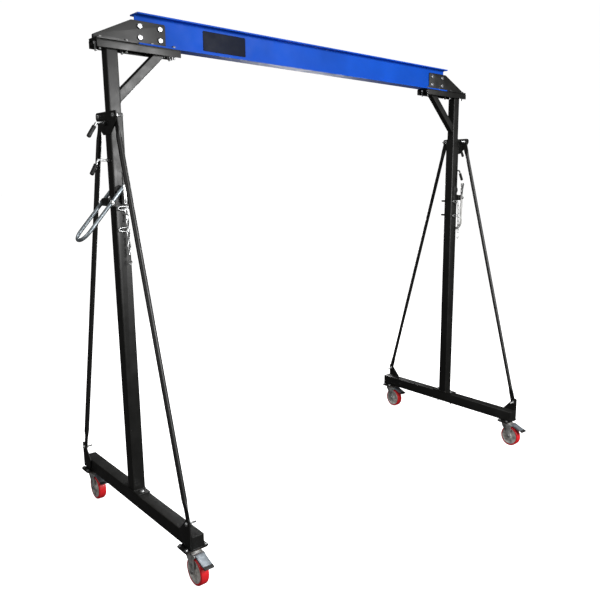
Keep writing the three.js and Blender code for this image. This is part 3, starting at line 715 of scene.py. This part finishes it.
def make_upper_mast(side):
    tube = mast_tube(INNER_MAST_HALF, 700, INNER_MAST_TOP, 6)
    cutter = bmesh.new()
    for k in range(HOLE_COUNT):
        add_pin_hole(cutter, LIFT_PIN_Z - k * HOLE_PITCH)
    mast = cut_mesh(tube, cutter)
    place(f"{side}_inner_mast", mast, side, BLACK, "upper_frame", [f"{side}_upper_mast"])


# ---- side frames


def make_lower_mast(side, body):
    """The lower mast with its slot, its holes and its foot plate."""
    tube = mast_tube(MAST_HALF, FOOT_TOP, 2299, 7)
    cutter = bmesh.new()
    slot = rounded(rectangle(MAST_X - 13, MAST_X + 13, 1800, 2010), 12.5)
    add_plate(cutter, "y", -60, 60, slot, bevel=0.1)
    add_pin_hole(cutter, LOCK_PIN_Z)
    for z in SCREW_Z.values():
        add_lathe(cutter, "x", (0, 0, z), [(OUTER_FACE - 12, 7), (OUTER_FACE + 12, 7)], 24)
    mast = cut_mesh(tube, cutter)
    foot = rounded(rectangle(MAST_X - MAST_HALF, MAST_X + MAST_HALF, -95, 95), 4)
    add_plate(mast, "z", FOOT_BOTTOM, FOOT_TOP, foot, bevel=0.8)
    reach = MAST_HALF + 1
    ring = rounded(rectangle(MAST_X - reach, MAST_X + reach, -reach, reach), 6, 3)
    add_weld(mast, [(x, y, FOOT_TOP + 1) for x, y in ring], 3, closed=True)
    place(f"{side}_outer_mast", mast, side, BLACK, body, [f"{side}_lower_mast"])


def make_pin_guide(side, body):
    """The plate on the slot's near side that guides the lift pin; its extra dark, matte black is the plate's
    own black with the shade it sits in painted in.
    """
    points = [
        (1318, 1845), (1338, 1845), (1338, 1893), (1362, 1893), (1370, 1912), (1366, 1932),
        (1350, 1943), (1332, 1939), (1320, 1924),
    ]
    guard = bmesh.new()
    outline = rounded(points, [6, 6, 3, 8, 8, 8, 8, 8, 8])
    add_plate(guard, "y", -MAST_HALF - 6, -MAST_HALF, outline, bevel=0.6)
    # Painted shade: the guide plate gets a darker black than the rest of the frame.
    place(f"{side}_pin_guide", guard, side, GUIDE_BLACK_PAINTED_SHADE, body)


def make_foot_bolts(side, body):
    """Bolts through the foot plate and the base."""
    bolts = bmesh.new()
    for y in (-68, 68):
        add_bolt_head(bolts, (MAST_X, y, 0), FOOT_TOP, 6)
        add_bolt_end(bolts, (MAST_X, y, 0), BASE_BOTTOM, 7, 18)
    place(f"{side}_foot_bolts", bolts, side, ZINC, body)


def base_section(inset_x, inset_z, corner, steps=5):
    """The base tube's section, made smaller by an inset on each side."""
    half = MAST_HALF - inset_x
    section = rectangle(MAST_X - half, MAST_X + half, BASE_BOTTOM + inset_z, BASE_TOP - inset_z)
    return rounded(section, corner, steps)


def make_base_tube(side, body):
    """The base with pressed-in end caps and the welds that hold them."""
    bm = bmesh.new()
    add_plate(bm, "y", -BASE_HALF_LENGTH, BASE_HALF_LENGTH, base_section(0, 0, 6), bevel=0.6)
    for end in (-1, 1):
        inner, outer = end * (BASE_HALF_LENGTH - 1), end * (BASE_HALF_LENGTH + 0.6)
        add_plate(bm, "y", inner, outer, base_section(6, 6, 4), bevel=0.5)
        seam_y = end * (BASE_HALF_LENGTH - 0.4)
        add_weld(bm, [(x, seam_y, z) for x, z in base_section(4.5, 4.5, 5, 3)], 1.6, closed=True)
    place(f"{side}_base", bm, side, BLACK, body, [f"{side}_base_tube"])


def add_tie_bolt(bm, y, z):
    """A bolt from outside through the plate and the tie's flat end, with its nut and long tail."""
    centre = (0, y, z)
    nut_face = 1364.5
    add_washer(bm, "x", centre, PLATE_OUT, PLATE_OUT + 2, 11)
    add_hexagon(bm, "x", centre, PLATE_OUT + 2, PLATE_OUT + 8, 17)
    add_washer(bm, "x", centre, nut_face, nut_face - 2, 10.5)
    add_hexagon(bm, "x", centre, nut_face - 2, nut_face - 9.5, 17)
    add_thread(bm, "x", centre, nut_face - 9, TIE_BOLT_END, 5, 1.5)


def make_collar(side, body):
    """The plate at the lower mast's top whose two ears hold the ties."""
    points = [
        (-112, 2302), (112, 2302), (125, 2294), (125, 2274), (105, 2240), (43, 2190), (-43, 2190),
        (-105, 2240), (-125, 2274), (-125, 2294),
    ]
    radii = [8, 8, 11, 18, 20, 5, 5, 20, 18, 11]
    bm = bmesh.new()
    hole = circle(0, SCREW_Z["upper"], 7)
    add_plate(bm, "x", PLATE_IN, PLATE_OUT, rounded(points, radii), [hole], bevel=0.8)
    for y in (-36, 36):
        seam_x = OUTER_FACE - 0.5
        add_weld(bm, [(seam_x, y, 2196), (seam_x, y, 2296)], 2.2)
    place(f"{side}_collar_plate", bm, side, BLACK, body)
    bolts = bmesh.new()
    for end in (-1, 1):
        add_tie_bolt(bolts, end * TIE_TOP[0], TIE_TOP[1])
    place(f"{side}_collar_bolts", bolts, side, ZINC, body, [f"{side}_mast_collar"])


def make_ear(side, name, end, body):
    """A plate on the base's outer face that holds the foot of a tie."""
    points = [(565, 268), (640, 346), (655, 358), (670, 358), (676, 350), (676, 200), (590, 200), (577, 213)]
    outline = rounded([(end * y, z) for y, z in points], [8, 10, 14, 8, 6, 5, 5, 6])
    bm = bmesh.new()
    add_plate(bm, "x", PLATE_IN, PLATE_OUT, outline, bevel=0.8)
    seam_x = PLATE_IN + 1
    top_z, bottom_z = BASE_TOP + 0.5, BASE_BOTTOM + 7
    add_weld(bm, [(seam_x, end * 590, top_z), (seam_x, end * 672, top_z)], 1.8)
    add_weld(bm, [(seam_x, end * 598, bottom_z), (seam_x, end * 668, bottom_z)], 1.6)
    place(f"{name}_ear", bm, side, BLACK, body)
    bolts = bmesh.new()
    add_tie_bolt(bolts, end * TIE_FOOT[0], TIE_FOOT[1])
    place(f"{name}_ear_bolt", bolts, side, ZINC, body, [f"{name}_base_ear"])


def tie_stations(length):
    """The tie's thickness, width and roundness at distances from its top bolt."""
    radius, flat, wide = 13.5, 3, 19
    flat_length, taper = 65, 55
    ends = [(-20, 0.55), (-18, 0.8), (-14, 0.94), (-8, 1), (flat_length, 1)]
    stations = [(distance, flat, wide * share, 0) for distance, share in ends]
    for step in range(1, 9):
        t = step / 8
        ease = t * t * (3 - 2 * t)
        thick = flat + (radius - flat) * ease
        width = wide + (radius - wide) * ease
        stations.append((flat_length + taper * t, thick, width, ease))
    return stations + [(length - d, thick, width, soft) for d, thick, width, soft in reversed(stations)]


def make_tie(side, name, end, body):
    """A round tube whose ends are pressed flat and rounded off."""
    middle_x = 1367.6
    top = Vector((middle_x, end * TIE_TOP[0], TIE_TOP[1]))
    foot = Vector((middle_x, end * TIE_FOOT[0], TIE_FOOT[1]))
    along = (foot - top).normalized()
    sideways = along.cross(AXES["x"])
    sides = 28
    rings = []
    for distance, thick, width, soft in tie_stations((foot - top).length):
        middle = top + along * distance
        power = 0.3 + 0.7 * soft
        ring = []
        for k in range(sides):
            angle = 2 * math.pi * (k + 0.5) / sides
            c, s = math.cos(angle), math.sin(angle)
            a = width * math.copysign(abs(c) ** power, c)
            b = thick * math.copysign(abs(s) ** power, s)
            ring.append(middle + sideways * a + AXES["x"] * b)
        rings.append(ring)
    bm = bmesh.new()
    add_rings(bm, rings)
    place(f"{name}_tie_tube", bm, side, BLACK, body, [f"{name}_tie"])


def make_clamp_screw(side, which, elbow_x, grip_from, grip_to, frame_body):
    """A screw that clamps the upper mast, with a bent handle, a ribbed grip and a welded nut."""
    z = SCREW_Z[which]
    body = f"{side}_{which}_clamp"
    first, last = Vector(grip_from), Vector(grip_to)
    screw = bmesh.new()
    add_thread(screw, "x", (0, 0, z), 1366.5, 1396, SCREW_RADIUS, 2)
    elbow = [(1395, 0, z), (elbow_x - 8, 0, z), (elbow_x + 1, 0, z - 5)]
    add_bar(screw, smooth_path([*elbow, first, first.lerp(last, 0.3)]), SCREW_RADIUS, 18)
    place(f"{body}_rod", screw, side, ZINC, body)
    grip = bmesh.new()
    stations = [(0, 7.4), (0.02, 9.2), (0.06, 10.6)]
    for k in range(12):
        stations.append((0.1 + 0.06 * k, 10.9 if k % 2 else 10.1))
    stations += [(0.86, 10.9), (0.93, 10.2), (0.98, 8), (1.0, 4.5)]
    path = [first.lerp(last, share) for share, radius in stations]
    add_bar(grip, path, [radius for share, radius in stations], 24)
    place(f"{body}_grip", grip, side, GRIP, body, [f"{side}_clamp_screw_{which}"])
    nut = bmesh.new()
    face = PLATE_OUT if which == "upper" else OUTER_FACE
    add_hexagon(nut, "x", (0, 0, z), face, face + 12, 22)
    ring = [(face + 0.6, y, ring_z) for y, ring_z in circle(0, z, 12, 16)]
    add_weld(nut, ring, 1.5, closed=True)
    place(f"{body}_nut", nut, side, BLACK, frame_body)


def make_lever(side):
    """A round bar bent to a U, its legs on both sides of the mast, with its pivot bolts."""
    x, z = LEVER_PIVOT
    rest = LEVER_REST[side]
    body = f"{side}_lever"
    leg = LEVER_LEG_Y
    bend_z = z - LEVER_BELOW + leg
    leg_heights = [z + LEVER_ABOVE, z + LEVER_ABOVE - 2.5, z, bend_z + 30]
    bar = bmesh.new()
    path = [Vector((x, -leg, height)) for height in leg_heights]
    path += arc((x, 0, bend_z), leg, 180, 360, ("y", "z"), 20)
    path += [Vector((x, leg, height)) for height in reversed(leg_heights)]
    radii = [LEVER_RADIUS] * len(path)
    radii[0] = radii[-1] = LEVER_RADIUS - 1.8
    add_bar(bar, path, radii, 24)
    turn_about_y(bar, LEVER_PIVOT, -rest)
    metal = LEVER_STEEL if side == "left" else PALE_STEEL
    place(f"{side}_lever_bar", bar, side, metal, body, [f"{side}_jack_lever"])
    fittings = bmesh.new()
    centre = (x, 0, z)
    for sign in (-1, 1):
        add_washer(fittings, "y", centre, sign * 66.5, sign * 68.2, 11)
        add_hexagon(fittings, "y", centre, sign * 68, sign * 73, 17)
        add_lathe(fittings, "y", centre, [(sign * 45.5, 6), (sign * 67, 6)], 18)
    centre = (x, 0, z + LINK_PIN_ABOVE)
    add_lathe(fittings, "y", centre, [(-leg, 4), (-75, 4), (-77, 3)], 16)
    add_washer(fittings, "y", centre, -73.4, -74.6, 7.5)
    turn_about_y(fittings, LEVER_PIVOT, -rest)
    place(f"{side}_lever_bolts", fittings, side, ZINC, body)


def make_lever_bracket(side, frame_body):
    """The block on the lower mast that carries the lever's pivot."""
    x, z = LEVER_PIVOT
    low, high, tip = z - 20, z + 21, x + 12
    bm = bmesh.new()
    outline = rounded([(PLATE_IN, low), (tip, low), (tip, high), (PLATE_IN, high)], [2, 12, 12, 2])
    add_plate(bm, "y", -46, 46, outline, [circle(x, z, 6.6)], bevel=1.2)
    seam_x = PLATE_IN + 0.8
    for seam_z in (high + 1, low - 1):
        add_weld(bm, [(seam_x, -36, seam_z), (seam_x, 36, seam_z)], 2.4)
    place(f"{side}_lever_block", bm, side, BLACK, frame_body, [f"{side}_lever_bracket"])


def make_link(side):
    """The flat bar that hangs from the lever's pin."""
    rest = math.radians(LEVER_REST[side])
    x = LEVER_PIVOT[0] - LINK_PIN_ABOVE * math.sin(rest)
    z = LEVER_PIVOT[1] + LINK_PIN_ABOVE * math.cos(rest)
    half_width, end_height, hole = 7.5, 9, 4.6
    outline = []
    for centre_z, turn in ((z, 0), (z - LINK_LENGTH, math.pi)):
        for k in range(13):
            angle = turn + math.pi * k / 12
            outline.append((x + half_width * math.cos(angle), centre_z + end_height * math.sin(angle)))
    bm = bmesh.new()
    holes = [circle(x, z, hole), circle(x, z - LINK_LENGTH, hole)]
    add_plate(bm, "y", -73, -67.6, outline, holes, bevel=0.6)
    turn_about_y(bm, (x, z), -LINK_REST[side])
    place(f"{side}_link_bar", bm, side, ZINC, f"{side}_link", [f"{side}_lift_link"])


def make_pin(side, kind, z):
    """A pin with its head, an oval pull ring and the tip that shows beyond the far side of the mast."""
    body = f"{side}_{kind}_pin"
    centre = (MAST_X, 0, z)
    head = bmesh.new()
    profile = [(-30.7, PIN_RADIUS), (-36, PIN_RADIUS), (-36, 10.5), (-36.6, 11), (-45, 11), (-46, 10)]
    add_lathe(head, "y", centre, profile, 28)
    place(f"{body}_head", head, side, PIN_BLACK, body, [body])
    half_width, half_height, sides = 29, 10, 32
    loop = []
    for k in range(sides):
        angle = 2 * math.pi * k / sides
        loop.append((MAST_X + half_width * math.cos(angle), -49.5, z - 2 + half_height * math.sin(angle)))
    ring = bmesh.new()
    add_bar(ring, loop, 2.3, 10, closed=True)
    place(f"{body}_ring", ring, side, ZINC, body)
    tip = bmesh.new()
    add_lathe(tip, "y", centre, [(31.5, PIN_RADIUS), (86, PIN_RADIUS), (92, 4.5)], 24)
    place(f"{body}_tip", tip, side, PIN_BLACK, body)


def oval_link(middle, along, sideways, half_length, half_width):
    """A chain link's centre line: two half circles apart along the chain."""
    points = []
    for end, start in ((1, -90), (-1, 90)):
        for step in range(7):
            angle = math.radians(start + 180 * step / 6)
            reach = along * (end * half_length + half_width * math.cos(angle))
            points.append(middle + reach + sideways * (half_width * math.sin(angle)))
    return points


def add_chain(bm, path):
    """Oval links threaded along a path, each a quarter turn from the last."""
    pitch, wire, half_width = 30, 2.2, 7.5
    half_length = pitch / 2 + wire - half_width
    points = [Vector(p) for p in path]
    lengths = [0]
    for first, second in zip(points, points[1:]):
        lengths.append(lengths[-1] + (second - first).length)
    count = int(lengths[-1] / pitch)
    for k in range(count):
        distance = (k + 0.5) * pitch
        index = max(i for i, reach in enumerate(lengths[:-1]) if reach <= distance)
        first, second = points[index], points[index + 1]
        middle = first.lerp(second, (distance - lengths[index]) / (second - first).length)
        along = (second - first).normalized()
        sideways = (AXES["x"] if k % 2 else AXES["y"]).cross(along).normalized()
        add_bar(bm, oval_link(middle, along, sideways, half_length, half_width), wire, 8, closed=True)


def make_chain(side):
    """The lift pin's retaining chain, which hangs from the same end of the ring on both masts."""
    x = MAST_X - 15 if side == "left" else MAST_X + 24
    y = -62
    bottom = 1556
    bm = bmesh.new()
    add_chain(bm, [(x, -50, LIFT_PIN_Z - 4), (x, y, 1770), (x, y, bottom)])
    add_bar(bm, arc((x, y, bottom - 7), 9, 0, 342, ("x", "z"), 19), 2.1, 8, closed=True)
    place(f"{side}_lift_chain", bm, side, ZINC, f"{side}_lift_pin", [f"{side}_pin_chain"])


# ---- casters


def make_caster_mount(side, name, y, body):
    """The adapter plate under the base, the caster's own top plate and their bolts."""
    plate = bmesh.new()
    outline = rounded(rectangle(MAST_X - 63, MAST_X + 63, y - 46, y + 46), 6)
    add_plate(plate, "z", 184.2, BASE_BOTTOM - GAP, outline, bevel=0.8)
    place(f"{name}_adapter_plate", plate, side, BLACK, body, [f"{name}_caster_mount"])
    top = bmesh.new()
    outline = rounded(rectangle(MAST_X - 60, MAST_X + 60, y - 43, y + 43), 9)
    add_plate(top, "z", 179, 184, outline, bevel=0.7)
    place(f"{name}_caster_top", top, side, TOP_PLATE_ZINC, body)
    bolts = bmesh.new()
    for x in (-52, 52):
        for offset in (-32, 32):
            centre = (MAST_X + x, y + offset, 0)
            add_washer(bolts, "z", centre, 191.8, 193.4, 9.6)
            add_hexagon(bolts, "z", centre, 193.2, 199.4, 16)
    place(f"{name}_mount_bolts", bolts, side, ZINC, body)


def make_caster_fork(side, name, y):
    """The swivel head with its crown and two legs; the caster trails behind the swivel's axis."""
    wheel_y = y - CASTER_TRAIL
    bm = bmesh.new()
    head = [(160, 10), (160, 22), (163.5, 33), (169, 35.5), (173, 36), (174.5, 34), (176, 34)]
    head += [(177.5, 32), (178.5, 31), (178.5, 2)]
    add_lathe(bm, "z", (MAST_X, y, 0), head, 40)
    crown = rounded(rectangle(MAST_X - FORK_OUT, MAST_X + FORK_OUT, y - 46, y + 25), 7)
    add_plate(bm, "z", 163.5, 170, crown, bevel=1.6)
    leg = [
        (y - 57, 150), (y - 70, 158), (y - 68, 170), (y + 25, 170), (y + 25, 155),
        (wheel_y + 16, 84), (wheel_y + 14, 61), (wheel_y - 14, 61), (wheel_y - 16, 84),
    ]
    radii = [10, 5, 5, 5, 14, 12, 13, 13, 12]
    for low in (MAST_X - FORK_OUT, MAST_X + FORK_IN):
        add_plate(bm, "x", low, low + FORK_OUT - FORK_IN, rounded(leg, radii), bevel=0.9)
    place(f"{name}_fork", bm, side, CASTER_ZINC, f"{name}_caster", [f"{name}_caster_fork"])


def make_caster_axles(side, name, y):
    """The wheel's axle with its nuts, the pedal's axle and the nut under the swivel."""
    bm = bmesh.new()
    centre = (0, y - CASTER_TRAIL, WHEEL_RADIUS)
    profile = [(MAST_X - 36, 5), (MAST_X - 35, 6), (MAST_X + 35, 6), (MAST_X + 37, 5)]
    add_lathe(bm, "x", centre, profile, 20)
    for sign in (-1, 1):
        face = MAST_X + sign * FORK_OUT
        add_washer(bm, "x", centre, face, face + sign * 1.6, 11.5)
        add_hexagon(bm, "x", centre, face + sign * 1.5, face + sign * 6.5, 18)
    offset, height = PEDAL_AXLE
    profile = [(MAST_X - 32.5, 3), (MAST_X - 32, 4), (MAST_X + 32, 4), (MAST_X + 32.5, 3)]
    add_lathe(bm, "x", (0, y + offset, height), profile, 16)
    add_hexagon(bm, "z", (MAST_X, y, 0), 160.5, 153.5, 19)
    place(f"{name}_axle", bm, side, ZINC, f"{name}_caster")


def add_wheel_skin(bm, centre, profile, sides):
    """Turns a closed profile of (distance along the axle, radius) about the axle."""
    rings = []
    for along, radius in profile:
        rings.append(ring_points(centre + AXES["x"] * along, AXES["y"], AXES["z"], radius, sides))
    add_rings(bm, rings, closed=True)


def make_wheel(side, name, y):
    """A pressed metal core with a dished web and hub, and a cast tread around its rim."""
    centre = Vector((MAST_X, y - CASTER_TRAIL, WHEEL_RADIUS))
    body = f"{name}_caster_wheel"
    half = 23
    tread = bmesh.new()
    outer = [(-half + 1.5, 63), (-half + 0.4, 68), (-half + 1.4, 71.5), (-half + 4.5, 74.2)]
    outer += [(-half + 9, WHEEL_RADIUS)]
    inner = [(half - 1.5, 62), (-half + 1.5, 62)]
    add_wheel_skin(tread, centre, outer + [(-a, r) for a, r in reversed(outer)] + inner, 64)
    place(f"{name}_tread", tread, side, RED, body)
    core = bmesh.new()
    face = [
        (24.8, 7.5), (24.8, 16), (23.6, 18.5), (17.5, 20), (15.5, 24), (15.5, 48), (18, 54),
        (21.6, 57.5), (22.2, 60), (21.6, 62.3),
    ]
    add_wheel_skin(core, centre, [(-a, r) for a, r in face] + [(a, r) for a, r in reversed(face)], 48)
    for sign in (-1, 1):
        low, high = sorted((0, sign * 1.6))
        for k in range(6):
            angle = math.radians(60 * k)
            spot = centre + Vector((sign * 15.2, 36 * math.cos(angle), 36 * math.sin(angle)))
            add_lathe(core, "x", spot, [(low, 5.6), (high, 5.6)], 16)
    place(f"{name}_core", core, side, WHEEL_CORE, body, [f"{name}_caster_wheel"])


def make_pedal(side, name, y):
    """The brake's pressed arm with turned-down sides, and the dark pad on its tip."""
    body = f"{name}_brake"
    arm = bmesh.new()
    side_view = [
        (y - 51, 168.5), (y - 70, 172), (y - 118, 153), (y - 143, 144.6), (y - 144, 136),
        (y - 120, 139), (y - 78, 156), (y - 63, 158), (y - 54, 158),
    ]
    outline = rounded(side_view, [3, 8, 10, 2, 2, 8, 6, 4, 4])
    for low in (MAST_X - 25, MAST_X + 22):
        add_plate(arm, "x", low, low + 3, outline, bevel=0.6)
    top = [(y - 56, 169.4), (y - 70, 172), (y - 118, 153), (y - 145, 144)]
    top += [(y - 144.4, 141.5), (y - 117, 150), (y - 69.5, 168.8), (y - 56, 166.5)]
    add_plate(arm, "x", MAST_X - 24, MAST_X + 24, rounded(top, [1, 6, 8, 1, 1, 8, 6, 1]), bevel=0.6)
    place(f"{name}_brake_arm", arm, side, PEDAL_ZINC, body)
    pad = bmesh.new()
    tip = [(y - 142, 145.6), (y - 152, 142.4), (y - 160.5, 137)]
    tip += [(y - 159.5, 130.5), (y - 150, 131), (y - 142, 133.6)]
    add_plate(pad, "x", MAST_X - 26, MAST_X + 26, rounded(tip, [2, 8, 4, 4, 6, 2]), bevel=1.4)
    for forward, height in ((147, 144.6), (152, 142.95)):
        add_bar(pad, [(MAST_X - 22, y - forward, height), (MAST_X + 22, y - forward, height)], 1.1, 10)
    place(f"{name}_brake_pad", pad, side, PEDAL, body, [f"{name}_brake_pedal"])


# ---- assembly


def make_side(side):
    body = f"{side}_frame"
    make_beam_bolts(side)
    make_head_channel(side)
    make_knee_brace(side)
    make_upper_mast(side)
    make_lower_mast(side, body)
    make_pin_guide(side, body)
    make_foot_bolts(side, body)
    make_base_tube(side, body)
    make_collar(side, body)
    make_clamp_screw(side, "upper", 1428, (1435, 0, 2231), (1471, 0, 2174), body)
    make_clamp_screw(side, "lower", 1433, (1440, 0, 2045), (1468, 0, 1991), body)
    make_lever(side)
    make_lever_bracket(side, body)
    make_link(side)
    make_pin(side, "lift", LIFT_PIN_Z)
    make_pin(side, "lock", LOCK_PIN_Z)
    make_chain(side)
    for place_name, end in (("near", -1), ("far", 1)):
        name = f"{side}_{place_name}"
        make_beam_plate(side, name, end)
        make_ear(side, name, end, body)
        make_tie(side, name, end, body)
        y = end * CASTER_Y
        make_caster_mount(side, name, y, body)
        make_caster_fork(side, name, y)
        make_caster_axles(side, name, y)
        make_wheel(side, name, y)
        make_pedal(side, name, y)


make_beam()
make_badge()
make_side("left")
make_side("right")


# ---- floor, light and camera


def make_floor():
    """A plain pale floor that the object's surfaces don't mirror."""
    bm = bmesh.new()
    outline = rectangle(-FLOOR_REACH, FLOOR_REACH, -FLOOR_REACH, FLOOR_REACH)
    bm.faces.new([bm.verts.new((x, y, 0)) for x, y in outline])
    mesh = bpy.data.meshes.new("floor")
    bm.to_mesh(mesh)
    bm.free()
    mesh.materials.append(floor_paper())
    floor = bpy.data.objects.new("floor", mesh)
    show(floor)
    floor.visible_glossy = False
    floor.visible_diffuse = False


def area_light(name, location, target, size, power):
    data = bpy.data.lights.new(name, "AREA")
    data.shape = "RECTANGLE"
    data.size, data.size_y = size
    data.energy = power
    light = bpy.data.objects.new(name, data)
    light.location = location
    direction = Vector(target) - Vector(location)
    light.rotation_euler = direction.to_track_quat("-Z", "Y").to_euler()
    show(light)


def make_lights():
    """A front box and an overhead box, with weaker ones to the left and behind."""
    area_light("front_softbox", (0.8, -4.7, 3.1), (-0.6, 0.0, 2.1), (2.4, 2.0), 300)
    area_light("overhead_softbox", (0.0, 0.2, 5.6), (0.0, 0.0, 0.0), (4.0, 2.4), 115)
    area_light("left_strip", (-4.6, -1.2, 2.5), (-1.3, 0.0, 1.5), (0.8, 1.8), 28)
    area_light("back_softbox", (3.4, 5.0, 1.6), (0.0, 0.0, 1.5), (1.6, 1.6), 150)


def background(tree, colour, strength):
    node = tree.nodes.new("ShaderNodeBackground")
    node.inputs["Color"].default_value = colour
    node.inputs["Strength"].default_value = strength
    return node.outputs["Background"]


def choose(tree, test, otherwise, when_true):
    """A mix shader that takes one of two shaders by the kind of ray."""
    node = tree.nodes.new("ShaderNodeMixShader")
    tree.links.new(test, node.inputs["Fac"])
    tree.links.new(otherwise, node.inputs[1])
    tree.links.new(when_true, node.inputs[2])
    return node.outputs["Shader"]


def make_world():
    """White behind the object, a dimmer grey surround in what the surfaces reflect."""
    world = bpy.data.worlds.new("studio")
    world.use_nodes = True
    tree = world.node_tree
    path = tree.nodes.new("ShaderNodeLightPath")
    seen = background(tree, (1, 1, 1, 1), WORLD_SEEN)
    fill = background(tree, WORLD_TINT, WORLD_FILL)
    mirrored = background(tree, WORLD_TINT, WORLD_IN_GLOSS)
    surround = choose(tree, path.outputs["Is Glossy Ray"], fill, mirrored)
    shader = choose(tree, path.outputs["Is Camera Ray"], surround, seen)
    tree.links.new(shader, tree.nodes["World Output"].inputs["Surface"])
    bpy.context.scene.world = world


def camera_turn():
    """The camera's turn: a heading from straight behind the near side, a rise and a small roll."""
    heading, rise = math.radians(CAMERA_HEADING), math.radians(CAMERA_RISE)
    level_x, level_y = math.sin(heading), -math.cos(heading)
    back = Vector((level_x * math.cos(rise), level_y * math.cos(rise), math.sin(rise)))
    right = AXES["z"].cross(back).normalized()
    level = Matrix((right, back.cross(right), back)).transposed().to_4x4()
    return level @ Matrix.Rotation(math.radians(CAMERA_ROLL), 4, "Z")


def make_camera():
    data = bpy.data.cameras.new("camera")
    data.sensor_width = 36
    data.lens = 39.65
    data.shift_x = -0.1025
    data.shift_y = 0.0223
    data.clip_end = 400
    camera = bpy.data.objects.new("camera", data)
    location = Vector(CAMERA_PLACE) * MM + SHIFT
    camera.matrix_world = Matrix.Translation(location) @ camera_turn()
    show(camera)
    bpy.context.scene.camera = camera


make_floor()
make_world()
make_lights()
make_camera()
bpy.context.scene.view_settings.view_transform = "Standard"
